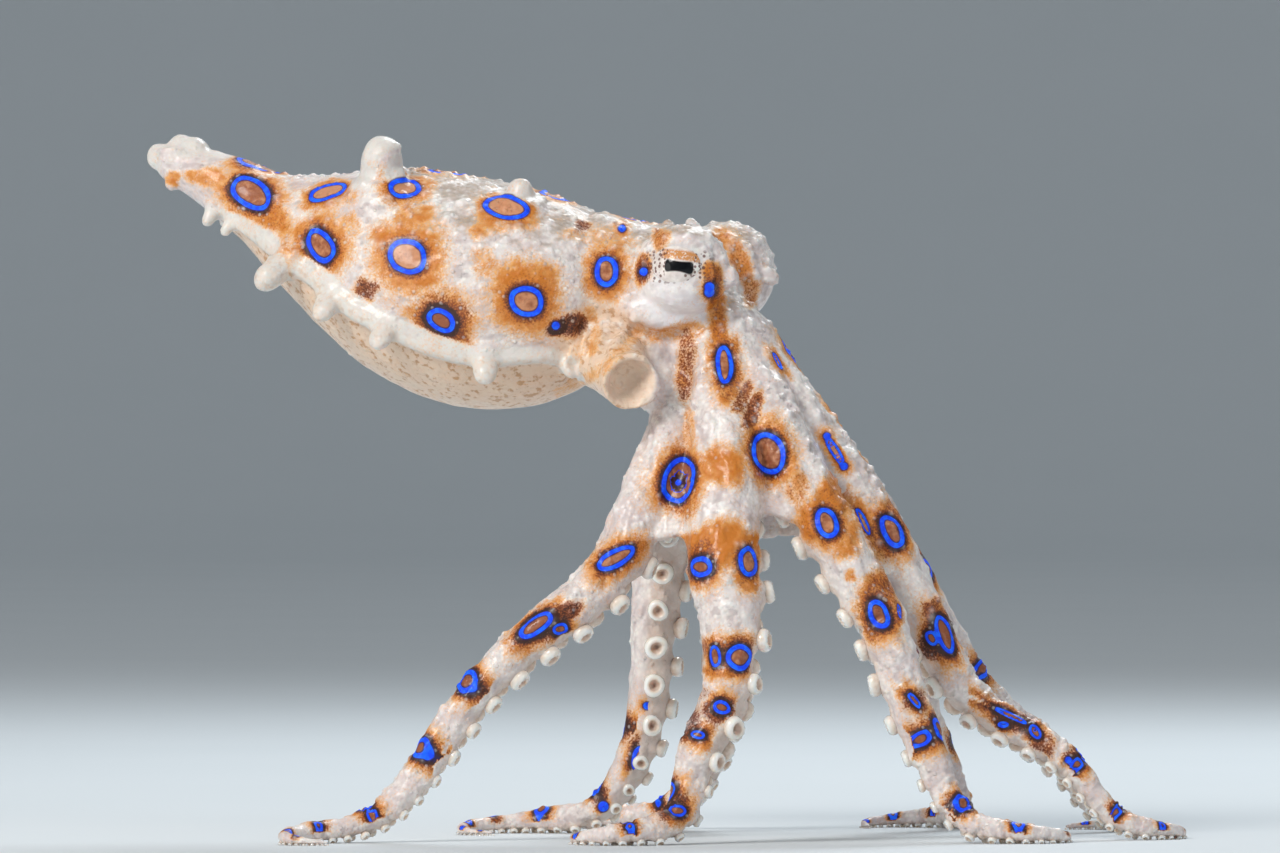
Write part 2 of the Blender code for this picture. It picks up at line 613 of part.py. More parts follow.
def body_nodes(routes):
    """The whole flesh, parted into mantle, funnel, crown and head."""
    rest = whole_flesh(routes)
    for route in routes.values():
        start = split_at_height(route, ARM_LEAVES_CROWN)
        ways = frame_on(tangents(route)[start])
        centre = route[start, :3] + ways[0] * ARM_BLOCK[0]
        cutter = block("arm_cut", centre, ways, ARM_BLOCK)
        boolean(rest, cutter, "DIFFERENCE")
        bpy.data.objects.remove(cutter)
    ways = frame_on(np.array(FUNNEL[-1][:3]) - np.array(FUNNEL[-3][:3]))
    ahead, half_sizes = FUNNEL_BLOCK
    funnel = parted(rest, "funnel", np.array(FUNNEL[2][:3]) + ways[0] * ahead, ways, half_sizes)
    end = np.array(FUNNEL[-1][:3])
    bore = loft("bore", [section(end + ways[0] * ahead, *ways[1:], radius, radius, FUNNEL_SIDES)
                         for ahead, radius in FUNNEL_FLARE])
    boolean(funnel, bore, "DIFFERENCE")
    bpy.data.objects.remove(bore)
    centre, half_sizes = MANTLE_BLOCK
    mantle = parted(rest, "mantle", centre, LEVEL_AXES, half_sizes)
    down = frame_on(np.array(CROWN[2][:3]) - np.array(CROWN[0][:3]))
    centre = np.array(CROWN[1][:3]) + down[0] * (CROWN_BLOCK[0] + NODE_GAP)
    crown = parted(rest, "crown", centre, down, CROWN_BLOCK)
    skirt = parted(crown, "skirt", (0, 0, SKIRT_TOP - SKIRT_BLOCK[2]), LEVEL_AXES, SKIRT_BLOCK)
    draw = random.Random("roots")
    gap = round(NODE_GAP / ARM_STEP_FINE)
    inner = []
    for name, route in routes.items():
        first, last = (split_at_height(route, height) for height in (FIRST_SUCKER, ARM_LEAVES_CROWN))
        inner += suckers(route, first, last - gap, draw, ARM_TURNS.get(name, 0.0))
    united(skirt, inner)
    roots = root_nodes(skirt, routes)
    rest.name = "head"
    return mantle, funnel, keep_largest(crown), keep_largest(rest), roots


def eyes(head):
    """Each eyeball in its socket, with a node's gap round it, behind an oval opening in the lids."""
    made = []
    for side, (centre, look) in EYES.items():
        socket = ball(centre, EYE_RADIUS + EYE_SOCKET_GAP, "socket", EYE_SEGMENTS)
        ahead, level, upright = frame_on(look)
        opening = loft("opening", [section(np.array(centre) + ahead * EYE_MOUND * reach, level, upright,
                                           *EYE_OPENING, LID_SIDES) for reach in (0.0, 1.5)])
        for cutter in (socket, opening):
            boolean(head, cutter, "DIFFERENCE")
            bpy.data.objects.remove(cutter)
        made.append(ball(centre, EYE_RADIUS, "eye_" + side, EYE_SEGMENTS))
    keep_largest(head)
    return made


def sucker(centre, way, along, rim, height):
    """A stalk that widens to a rim round a dished face. It starts at centre, inside the arm."""
    across = np.cross(along, way)
    sides = FINE_SUCKER_SIDES if rim > SMALL_SUCKER_RIM else COARSE_SUCKER_SIDES
    rings = [section(centre + way * rise, along, across, radius, radius, sides)
             for rise, radius in ((0.0, rim * SUCKER_NECK), (height, rim))]
    obj = loft("sucker", rings)
    bm = bmesh.new()
    bm.from_mesh(obj.data)
    face = max(bm.faces, key=lambda f: f.calc_center_median().dot(Vector(way)))
    bmesh.ops.poke(bm, faces=[face], offset=-rim * SUCKER_DISH * MM)
    bm.to_mesh(obj.data)
    bm.free()
    return obj


def suckers(fine, low, high, draw, turn):
    """Two rows of suckers on an arm's underside, turn about, between two points of its fine route."""
    ways = tangents(fine)
    made, at, sign = [], float(low), 1
    while True:
        radius = fine[int(at), 3]
        rim = max(radius * SUCKER_RIM, SUCKER_LEAST_RIM) * draw.uniform(*SUCKER_VARIES)
        at += (rim if not made else 0.5 * max(radius * SUCKER_PITCH, SUCKER_LEAST_PITCH)) / ARM_STEP_FINE
        if at > high - rim / ARM_STEP_FINE:
            return made
        point, along = fine[int(at), :3], ways[int(at)]
        under = sucker_side(fine[int(at)], along, turn)
        side = np.cross(along, under)
        way = under * math.cos(SUCKER_SPLAY) + side * math.sin(SUCKER_SPLAY) * sign
        root = radius * SUCKER_ROOT
        reach = radius * (1 + SUCKER_HEIGHT) if radius > THIN_ARM else radius * ARM_UNDERSIDE + rim
        made.append(sucker(point + way * root, way, along, rim, reach - root))
        sign = -sign


def united(obj, pieces):
    """Joins loose closed pieces to a node in one Boolean, and removes them."""
    group = bpy.data.collections.new("pieces")
    for piece in pieces:
        bpy.context.scene.collection.objects.unlink(piece)
        group.objects.link(piece)
    join = obj.modifiers.new("Join", "BOOLEAN")
    join.operand_type = "COLLECTION"
    join.collection = group
    join.operation = "UNION"
    join.solver = "MANIFOLD"
    apply_modifiers(obj)
    for piece in list(group.objects):
        bpy.data.objects.remove(piece)
    bpy.data.collections.remove(group)
    return obj


def arm_nodes(name, fine):
    """One free arm in three lengths, each with its suckers, resting on flats at the floor."""
    start = split_at_height(fine, ARM_LEAVES_CROWN)
    total = len(fine) - 1 - start
    draw, turn = random.Random(name), ARM_TURNS.get(name, 0.0)
    gap = round(NODE_GAP / ARM_STEP_FINE)
    floor = block("floor", (0, 0, -FLOOR_BLOCK[2]), LEVEL_AXES, FLOOR_BLOCK)
    made = []
    for part, begin, end in zip(ARM_PARTS, (0.0, *ARM_PART_ENDS), ARM_PART_ENDS):
        low, high = start + int(total * begin) + gap, start + int(total * end)
        picks = picked(low, high, ARM_STEP)
        node = loft(f"arm_{name}_{part}", arm_rings(fine[picks], tangents(fine)[picks], ARM_SIDES, turn))
        united(node, suckers(fine, low + gap, high - gap, draw, turn))
        boolean(node, floor, "DIFFERENCE")
        made.append(keep_largest(node))
    bpy.data.objects.remove(floor)
    return made


def paint(objects, colour):
    rgba, rough = COLOURS[colour]
    material = bpy.data.materials.get(colour) or bpy.data.materials.new(colour)
    material.use_nodes = True
    shader = material.node_tree.nodes["Principled BSDF"]
    shader.inputs["Base Color"].default_value = rgba
    shader.inputs["Roughness"].default_value = rough
    for obj in objects:
        obj.data.materials.clear()
        obj.data.materials.append(material)
        obj.data.shade_smooth()


def over_origin(objects):
    """Moves the whole animal so that the middle of its box stands over the origin."""
    corners = np.array([v.co for obj in objects for v in obj.data.vertices])
    middle = (corners.min(0) + corners.max(0)) / 2
    for obj in objects:
        obj.data.transform(Matrix.Translation((-middle[0], -middle[1], 0)))


def main():
    for obj in list(bpy.data.objects):
        bpy.data.objects.remove(obj)
    routes = {name: arm_route(name) for name in ARMS}
    mantle, funnel, crown, head, roots = body_nodes(routes)
    eyeballs = eyes(head)
    arms = [node for name, route in routes.items() for node in arm_nodes(name, route)]
    paint([mantle, head, crown, *roots, *arms], "skin")
    paint([funnel], "belly")
    paint(eyeballs, "eye")
    nodes = [mantle, head, crown, funnel, *eyeballs, *roots, *arms]
    octopus = bpy.data.collections.new("blue_ringed_octopus")
    bpy.context.scene.collection.children.link(octopus)
    for obj in nodes:
        bpy.context.scene.collection.objects.unlink(obj)
        octopus.objects.link(obj)
    over_origin(nodes)


main()
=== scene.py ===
# %% [markdown]
# A blue ringed octopus, life size. The real animal is one soft body: a pointed mantle, a head with two
# raised eyes, and eight arms joined by a web. It stands on its arms, with the mantle held out behind.
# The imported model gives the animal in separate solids. They are loaded first, as a fixed frame, and
# everything that follows is placed by them, so the box of that frame is measured before anything is made.

# %% Load the frame
import math
import random

import bmesh
import bpy
import numpy as np
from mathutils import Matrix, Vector
from mathutils.bvhtree import BVHTree
from mathutils.kdtree import KDTree


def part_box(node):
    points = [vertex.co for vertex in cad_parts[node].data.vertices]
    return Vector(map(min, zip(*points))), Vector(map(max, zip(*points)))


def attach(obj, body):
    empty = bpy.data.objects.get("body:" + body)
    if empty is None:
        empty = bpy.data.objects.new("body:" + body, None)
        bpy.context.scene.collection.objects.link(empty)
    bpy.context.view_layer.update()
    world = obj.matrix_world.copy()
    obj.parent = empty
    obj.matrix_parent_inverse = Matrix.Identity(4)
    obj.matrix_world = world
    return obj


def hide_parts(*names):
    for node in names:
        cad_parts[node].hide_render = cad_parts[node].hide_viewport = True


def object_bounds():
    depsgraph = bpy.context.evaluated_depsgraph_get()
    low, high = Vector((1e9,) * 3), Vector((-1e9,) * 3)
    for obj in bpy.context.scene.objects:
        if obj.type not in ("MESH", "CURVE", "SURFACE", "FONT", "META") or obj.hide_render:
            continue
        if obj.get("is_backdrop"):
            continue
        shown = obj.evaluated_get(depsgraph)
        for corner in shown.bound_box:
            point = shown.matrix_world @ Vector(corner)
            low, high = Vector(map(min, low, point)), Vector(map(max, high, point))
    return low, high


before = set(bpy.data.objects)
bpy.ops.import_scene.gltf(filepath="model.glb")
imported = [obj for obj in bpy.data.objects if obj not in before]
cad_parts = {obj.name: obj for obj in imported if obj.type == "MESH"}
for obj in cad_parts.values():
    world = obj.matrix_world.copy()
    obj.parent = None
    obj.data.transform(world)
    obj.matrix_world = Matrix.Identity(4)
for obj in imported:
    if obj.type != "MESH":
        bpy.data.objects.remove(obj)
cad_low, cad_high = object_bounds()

MM = 0.001
cad_size = [round((high - low) / MM, 1) for low, high in zip(cad_low, cad_high)]
print("frame of", len(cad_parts), "nodes,", cad_size, "mm")

# %% [markdown]
# The body is laid out in millimetres in the pose's own frame: x from the mantle's tip to the front arms,
# y away from the viewer, z up from the floor. The eye's place is known in that frame and in the packed
# model, and the difference between the two is the only shift that is needed.
# The photograph is taken as 1280 x 853, and one of its pixels is 0.08 mm on the animal, so a marking that
# is seen in it can be named by its pixel and found on the surface later.

# %% Frame of the pose, and the photograph's scale
EYES = {
    "right": ((6.5, -4.3, 45.5), (-0.25, -0.95, 0.16)),
    "left": ((10.4, 6.1, 45.4), (0.50, 0.84, 0.16)),
}
UP = np.array((0.0, 0.0, 1.0))
PIXEL = 0.08
PHOTO_ZERO = (600, 838)      # the pixel that lies at x = 0 on the floor
PHOTO_SIZE = (1280, 853)

eye_low, eye_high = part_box("eye_right")
SHIFT = (np.array(eye_low) + np.array(eye_high)) / 2 / MM - np.array(EYES["right"][0])


def from_pixel(px, py):
    """The x and z, in the pose's frame, of a pixel of the photograph."""
    return (px - PHOTO_ZERO[0]) * PIXEL, (PHOTO_ZERO[1] - py) * PIXEL


print("shift into the model's frame", SHIFT.round(2))

# %% [markdown]
# The camera looks level at the animal's right side from a metre away through a long lens, which keeps the
# photograph's flat, close view. The lens is worked out from the width of what the photograph takes in.

# %% Camera
CAMERA_DISTANCE = 1000.0
photo_x, photo_z = from_pixel(PHOTO_SIZE[0] / 2, PHOTO_SIZE[1] / 2)
camera_data = bpy.data.cameras.new("camera")
camera_data.sensor_width = 36
camera_data.lens = camera_data.sensor_width * CAMERA_DISTANCE / (PHOTO_SIZE[0] * PIXEL)
camera_data.clip_start = 0.01
camera_data.clip_end = 20
camera = bpy.data.objects.new("camera", camera_data)
camera.location = Vector((photo_x, -CAMERA_DISTANCE, photo_z)) * MM + Vector(SHIFT) * MM
camera.rotation_euler = (math.pi / 2, 0, 0)
bpy.context.scene.collection.objects.link(camera)
bpy.context.scene.camera = camera
print("lens", round(camera_data.lens), "mm, camera", round(camera.location.z / MM), "mm above the floor")

# %% [markdown]
# Shader maths reads best as plain expressions. A Wire wraps a socket, and an operator on it adds the Math
# node that does the sum, so that 1 - mask or halo * grain can be written as it is meant.
# A Finish is a material being made: it has one method for every other node, and short names for those
# that this animal needs.

# %% Helpers for materials
class Wire:
    """A socket that can be reckoned with."""

    def __init__(self, finish, socket):
        self.finish, self.socket = finish, socket

    def reckon(self, operation, *values):
        return self.finish.node("ShaderNodeMath", {"operation": operation}, dict(enumerate(values)))

    def __add__(self, other):
        return self.reckon("ADD", self, other)

    def __sub__(self, other):
        return self.reckon("SUBTRACT", self, other)

    def __rsub__(self, other):
        return self.reckon("SUBTRACT", other, self)

    def __mul__(self, other):
        return self.reckon("MULTIPLY", self, other)

    def __truediv__(self, other):
        return self.reckon("DIVIDE", self, other)

    def __pow__(self, other):
        return self.reckon("POWER", self, other)

    def __abs__(self):
        return self.reckon("ABSOLUTE", self)

    __radd__ = __add__

    def above(self, low, high):
        """0 below low, 1 above high, a soft step between. Low may be the greater, to turn it round."""
        return self.finish.node("ShaderNodeMapRange", {"interpolation_type": "SMOOTHSTEP"},
                                {0: self, 1: low, 2: high, 3: 0.0, 4: 1.0})


class Finish:
    """A material being made. Constants are set on its shader's own sockets."""

    def __init__(self, name, **constants):
        self.material = bpy.data.materials.new(name)
        self.material.use_nodes = True
        self.shader = self.material.node_tree.nodes["Principled BSDF"]
        for socket, value in constants.items():
            self.shader.inputs[socket.replace("_", " ")].default_value = value
        position = self.node("ShaderNodeTexCoord", output="Object")
        self.place = self.node("ShaderNodeVectorMath", {"operation": "SCALE"},
                               {0: position, "Scale": 1 / MM}, output="Vector")

    def feed(self, socket, value):
        if isinstance(value, Wire):
            self.material.node_tree.links.new(value.socket, socket)
        else:
            socket.default_value = value

    def node(self, kind, settings=None, values=None, output=0):
        made = self.material.node_tree.nodes.new(kind)
        for key, value in (settings or {}).items():
            setattr(made, key, value)
        for key, value in (values or {}).items():
            self.feed(made.inputs[key], value)
        return Wire(self, made.outputs[output])

    def mix(self, factor, first, second):
        """Between two colours."""
        return self.node("ShaderNodeMix", {"data_type": "RGBA"}, {0: factor, 6: first, 7: second}, output=2)

    def layers(self, colour, *laid):
        """A colour with others laid over it in turn, each with the share that it takes."""
        for share, over in laid:
            colour = self.mix(share, colour, over)
        return colour

    def field(self, name):
        """A value that the mesh carries at each vertex."""
        return self.node("ShaderNodeAttribute", {"attribute_name": name}, output="Fac")

    def noise(self, grain, detail=2.0):
        """Soft random values round 0.5, with lumps about a grain of that many millimetres."""
        values = {"Vector": self.place, "Scale": 1 / grain, "Detail": detail}
        return self.node("ShaderNodeTexNoise", {}, values)

    def cells(self, grain, randomness=1.0):
        """Distance, in grains, from the nearest of many scattered points."""
        values = {"Vector": self.place, "Scale": 1 / grain, "Randomness": randomness}
        return self.node("ShaderNodeTexVoronoi", {}, values, output="Distance")

    def bump(self, height, depth, under=None):
        """A bumped normal. Depth is in millimetres."""
        values = {"Height": height, "Strength": 1.0, "Distance": depth * MM}
        if under:
            values["Normal"] = under
        return self.node("ShaderNodeBump", {}, values)

    def finish(self, **fed):
        for socket, value in fed.items():
            self.feed(self.shader.inputs[socket.replace("_", " ")], value)
        return self.material


def tint(red, green, blue):
    """A colour as a screen shows it, from 0 to 255, made linear."""
    def linear(value):
        value /= 255
        return value / 12.92 if value <= 0.04045 else ((value + 0.055) / 1.055) ** 2.4
    return linear(red), linear(green), linear(blue), 1.0


print("white skin in linear light", [round(v, 2) for v in tint(236, 228, 224)])

# %% [markdown]
# A body like this has no flat face and no straight edge. Each limb is a loft: a smooth curve through a few
# chosen stations, with a ring of points across it at even steps, and faces that cover the strips between the
# rings. Any closed form that overlaps another will later be grown together with it, so the forms only have to
# be right, not tidy where they meet.

# %% Helpers for forms
CURVE_STEPS = 12          # between two stations
UPRIGHT_STEP, SQUARE_STEP = 0.7, 0.5          # between the rings of the two kinds of loft
BALL_SEGMENTS = 40
PAPILLA_SIDES = 20
PAPILLA_ROOT = ((-0.8, 1.9), (-0.3, 1.6), (0.0, 1.25))       # along its length, and how wide
DOME_ANGLES = (0, 20, 40, 60, 76, 88)


def smooth_route(stations, step):
    """Points and radii at even steps along a Catmull-Rom curve through (x, y, z, radius) stations."""
    p = np.array(stations, float)
    p = np.vstack((2 * p[0] - p[1], p, 2 * p[-1] - p[-2]))
    dense = []
    for a, b, c, d in zip(p, p[1:], p[2:], p[3:]):
        for t in np.linspace(0, 1, CURVE_STEPS, endpoint=False):
            dense.append(0.5 * (2 * b + (c - a) * t + (2 * a - 5 * b + 4 * c - d) * t * t
                                + (3 * b - a - 3 * c + d) * t ** 3))
    dense.append(p[-2])
    dense = np.array(dense)
    along = np.concatenate(([0], np.cumsum(np.linalg.norm(np.diff(dense[:, :3], axis=0), axis=1))))
    wanted = np.linspace(0, along[-1], max(3, round(along[-1] / step)) + 1)
    return np.stack([np.interp(wanted, along, dense[:, k]) for k in range(4)], axis=1)


def unit(v):
    v = np.asarray(v, float)
    return v / np.maximum(np.linalg.norm(v, axis=-1, keepdims=True), 1e-9)


def tangents(route):
    return unit(np.gradient(route[:, :3], axis=0))


def oval(centre, side, up, half_side, half_up, count, under=1.0):
    """One ring of a loft: an ellipse, whose half on the side of up may be flatter."""
    angle = np.linspace(0, 2 * math.pi, count, endpoint=False)[:, None]
    rise = np.sin(angle)
    return centre + side * half_side * np.cos(angle) + up * half_up * rise * np.where(rise > 0, under, 1.0)


def mesh_object(name, bm):
    mesh = bpy.data.meshes.new(name)
    bm.to_mesh(mesh)
    bm.free()
    obj = bpy.data.objects.new(name, mesh)
    bpy.context.scene.collection.objects.link(obj)
    return obj


def cover(bm, rows, closed=True):
    """Fills the strips between rows of equally many vertices. Closed also joins the ends of each row."""
    for low, high in zip(rows, rows[1:]):
        for k in range(len(low) - (not closed)):
            n = (k + 1) % len(low)
            bm.faces.new((low[k], low[n], high[n], high[k]))


def loft(name, rings):
    """A closed object through rings of equally many points in the pose's frame, capped at both ends."""
    bm = bmesh.new()
    rows = [[bm.verts.new((point + SHIFT) * MM) for point in ring] for ring in rings]
    cover(bm, rows)
    bm.faces.new(rows[0][::-1])
    bm.faces.new(rows[-1])
    bm.normal_update()
    bmesh.ops.recalc_face_normals(bm, faces=bm.faces)
    return mesh_object(name, bm)


def ball(centre, radius, stretch=(1, 1, 1)):
    bm = bmesh.new()
    bmesh.ops.create_uvsphere(bm, u_segments=BALL_SEGMENTS, v_segments=BALL_SEGMENTS // 2, radius=radius * MM)
    for v in bm.verts:
        v.co = Vector([v.co[k] * stretch[k] for k in range(3)]) + Vector(centre + SHIFT) * MM
    return mesh_object("ball", bm)


def upright_loft(name, stations, width, count):
    """A loft whose sections stand upright across its way, for the mantle and the head."""
    route = smooth_route(stations, UPRIGHT_STEP)
    sides = unit(np.cross(tangents(route), UP))
    return loft(name, [oval(p[:3], side, UP, p[3] * width, p[3], count) for p, side in zip(route, sides)])


def square_loft(name, stations, count):
    """A loft with round sections square to its way, for the crown and the funnel."""
    route = smooth_route(stations, SQUARE_STEP)
    rings = []
    for p, tangent in zip(route, tangents(route)):
        across = (0.0, 1.0, 0.0) if abs(tangent[1]) < 0.5 else (1.0, 0.0, 0.0)
        side = unit(np.cross(tangent, across))
        rings.append(oval(p[:3], side, np.cross(tangent, side), p[3], p[3], count))
    return loft(name, rings)


def frame_on(way):
    """Three directions, the first along way."""
    first = unit(way)
    second = np.cross(UP, first) if abs(first[2]) < 0.95 else np.array((0.0, 1.0, 0.0))
    second = unit(second - first * float(second @ first))
    return first, second, np.cross(first, second)


def papilla(root, way, length, radius, bulb=0.72, flat=1.0, sag=0.0):
    """A soft point with a round end, its root sunk in what it grows from. It may be flat, and may sag."""
    way, side, up = frame_on(way)
    rings = []
    cap = min(0.6, bulb * radius / length)
    dome = [(1 - cap * (1 - math.sin(a)), bulb * math.cos(a)) for a in np.radians(DOME_ANGLES)]
    for along, size in (*PAPILLA_ROOT, (0.4 * (1 - cap), (0.9 + bulb) / 2), *dome):
        centre = np.array(root) + way * length * along - UP * sag * max(along, 0.0) ** 2
        rings.append(oval(centre, side, up, radius * size, radius * size * flat, PAPILLA_SIDES))
    return loft("papilla", rings)


# %% [markdown]
# The studio is one wide, shallow bowl of pale paper. It is flat well past any place from which the animal
# is looked at, and curves up all round beyond it, so that no edge shows from any side. A large soft light
# stands on the left, as the photograph's main light does, with a faint one low beside it. A weaker one fills
# the right side, one behind draws a bright line along the back, and a broad one overhead lights the paper.

# %% Studio
PAPER_FLAT = 2200.0          # radius of the flat floor
PAPER_BEND = 900.0
PAPER_TOP = 2500.0
PAPER_SIDES = 128
BEND_STEPS = 24
PAPER_GRAIN = 60.0
AIM = Vector((0, 0, 34)) * MM          # where the lights look
ROOM_COLOUR = (0.84, 0.86, 0.88, 1.0)
ROOM_LIGHT = 0.42
bend = [(PAPER_FLAT + PAPER_BEND * math.sin(a), PAPER_BEND * (1 - math.cos(a)))
        for a in np.linspace(0, math.pi / 2, BEND_STEPS)]
profile = [*bend, (PAPER_FLAT + PAPER_BEND, PAPER_TOP)]
paper_bm = bmesh.new()
paper_rows = [[paper_bm.verts.new((r * math.cos(a) * MM, r * math.sin(a) * MM, z * MM))
               for a in np.linspace(0, 2 * math.pi, PAPER_SIDES, endpoint=False)] for r, z in profile]
paper_bm.faces.new(paper_rows[0])
cover(paper_bm, paper_rows[::-1])
paper = mesh_object("paper", paper_bm)
paper.data.shade_smooth()
paper_finish = Finish("pale_paper", Roughness=0.85)
paper.data.materials.append(paper_finish.finish(
    Base_Color=paper_finish.mix(paper_finish.noise(PAPER_GRAIN), tint(218, 225, 229), tint(222, 228, 232))))
paper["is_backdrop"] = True

LIGHTS = (       # name, place in millimetres from the animal's middle, size, watts and colour
    ("key_light", (-340, -400, 350), 230, 2.4, (1.0, 0.97, 0.93)),
    ("fill_light", (420, -380, 160), 300, 0.42, (0.93, 0.97, 1.0)),
    ("rim_light", (120, 300, 330), 220, 1.0, (0.90, 0.96, 1.0)),
    ("low_light", (-340, -260, 30), 220, 0.25, (1.0, 0.98, 0.95)),
    ("top_light", (0, 0, 2300), 2400, 2.7, (0.98, 0.99, 1.0)),
)
for name, place, size, watts, colour in LIGHTS:
    data = bpy.data.lights.new(name, "AREA")
    data.shape = "DISK"
    data.size = size * MM
    data.energy = watts
    data.color = colour
    light = bpy.data.objects.new(name, data)
    light.location = Vector(place) * MM + AIM
    light.rotation_euler = (AIM - light.location).to_track_quat("-Z", "Y").to_euler()
    bpy.context.scene.collection.objects.link(light)
world = bpy.data.worlds.new("room")
world.use_nodes = True
room = world.node_tree.nodes["Background"]
room.inputs["Color"].default_value = ROOM_COLOUR
room.inputs["Strength"].default_value = ROOM_LIGHT
bpy.context.scene.world = world
bpy.context.scene.view_settings.view_transform = "Standard"
print(len(LIGHTS), "lights over a floor", 2 * PAPER_FLAT, "mm wide")

# %% [markdown]
# The body's own sizes. Mantle and head are rows of stations: where the middle line passes, and half the
# height there. The mantle is widest two thirds of the way to the neck and draws out to a soft point.

# %% Sizes of the body
MANTLE_WIDTH = 1.04
HEAD_WIDTH = 1.08
MANTLE = (
    (-35.6, 12.2, 54.2, 0.9), (-34.8, 11.9, 54.2, 1.5), (-32.0, 11.0, 53.0, 2.35), (-28.8, 10.2, 51.2, 3.3),
    (-25.6, 9.3, 48.9, 4.5), (-21.6, 8.1, 46.7, 6.5), (-17.6, 7.0, 45.3, 8.25), (-13.6, 5.9, 44.4, 9.2),
    (-9.6, 4.8, 43.6, 9.3), (-5.6, 3.7, 43.3, 8.75), (-2.4, 2.9, 43.3, 7.7), (-0.6, 2.4, 43.5, 6.6),
    (0.6, 2.1, 43.8, 5.2),
)
HEAD = (
    (-3.0, 3.0, 44.6, 5.3), (0.5, 2.2, 44.6, 5.4), (3.5, 1.6, 44.2, 5.1), (6.5, 0.9, 43.8, 4.9),
    (8.5, 0.5, 42.6, 4.1), (9.2, 0.3, 41.5, 3.2),
)
CROWN = (
    (6.6, 0.8, 42.8, 4.0), (8.2, 0.5, 40.4, 4.6), (9.8, 0.2, 37.6, 5.2), (11.2, 0.0, 34.6, 5.4),
    (11.6, 0.0, 32.4, 4.0),
)
FUNNEL = (
    (-1.5, 2.0, 40.2, 3.1), (0.0, -0.8, 39.0, 3.0), (1.3, -4.0, 37.8, 2.6), (2.1, -6.6, 36.8, 2.3),
    (2.5, -8.0, 36.4, 2.35),
)
FUNNEL_BORE = 1.75
FUNNEL_BORE_DEPTH = 2.1
EYE_RADIUS = 2.6
EYE_MOUND = {"right": 3.7, "left": 4.1}
MOUND_SINK = 0.6
EYE_OPENING = (2.3, 1.65)
CHEEK = ((4.6, -2.6, 42.2), (8.6, 4.2, 42.0))
CHEEK_RADIUS = 2.3
NECK_FILL = (((4.2, 0.2, 39.0), 2.6), ((4.0, -1.8, 38.6), 2.2), ((4.4, -2.6, 36.2), 2.0))
CHEEK_STRETCH = (1.6, 1.0, 0.85)

# Papillae along the ridge and on the crest: seen place (x, z), length, radius, lean, bulb, flatness, sag
PAPILLAE = (
    ((-17.5, 52.5), 3.35, 1.95, (0.0, -0.15, 1.0), 0.92, 0.8, 0.0),
    ((-16.5, 52.2), 1.35, 1.05, (0.2, -0.1, 1.0), 0.80, 0.9, 0.0),
    ((-6.4, 51.2), 1.5, 1.3, (0.0, -0.15, 1.0), 0.75, 0.9, 0.0),
    ((-31.2, 50.3), 1.3, 0.6, (-0.5, -0.4, -0.75), 0.75, 0.8, 0.1),
    ((-29.7, 49.4), 1.3, 0.55, (-0.5, -0.4, -0.75), 0.75, 0.8, 0.1),
    ((-24.9, 46.1), 3.1, 1.1, (-0.68, -0.45, -0.42), 0.85, 0.7, 0.25),
    ((-21.4, 43.2), 2.3, 0.95, (-0.40, -0.7, -0.50), 0.80, 0.6, 0.3),
    ((-17.0, 40.8), 2.1, 0.95, (-0.35, -0.75, -0.50), 0.80, 0.6, 0.3),
    ((-9.1, 38.4), 2.1, 1.0, (0.0, -0.6, -0.80), 0.82, 0.6, 0.2),
    ((-2.6, 38.2), 1.5, 0.85, (0.3, -0.7, -0.65), 0.55, 0.6, 0.1),
)
CREST_LEAN = 0.9
PLUMP = 1.3          # what remesh and smoothing take from a thin form, given back
LONGER = 1.15
RIDGE = ((-30.2, 49.9), (-28.0, 48.6), (-24.9, 46.4), (-22.3, 44.6), (-19.7, 42.5), (-17.0, 41.1),
         (-13.5, 39.5), (-9.6, 38.5), (-4.9, 38.6), (-2.4, 38.2))
RIDGE_RADIUS = 0.78
TAIL_KNOBS = (((-35.7, 12.2, 54.8), 1.15), ((-33.9, 11.7, 55.3), 1.3), ((-32.9, 11.4, 55.1), 1.3),
              ((-31.3, 11.0, 53.9), 1.4))
TAIL_HOOK = ((-34.6, 10.9, 53.8), (-0.05, -0.25, -1.0), 1.9, 0.8)
HEAD_HORNS = (
    ((5.4, 0.6, 48.6), (0.0, -0.1, 1.0), 1.0, 0.6),
    ((7.4, 2.2, 48.0), (-0.1, 0.2, 1.0), 1.5, 0.65),
    ((9.0, -4.2, 45.0), (0.95, -0.3, -0.15), 2.3, 1.15),
    ((12.6, 3.4, 45.2), (0.9, -0.2, -0.25), 1.9, 0.9),
    ((7.5, 2.8, 48.5), (-0.3, -0.1, 1.0), 1.0, 0.85),
)
print("mantle", round(MANTLE[-1][0] - MANTLE[0][0], 1), "mm long,", 2 * max(s[3] for s in MANTLE), "mm deep")
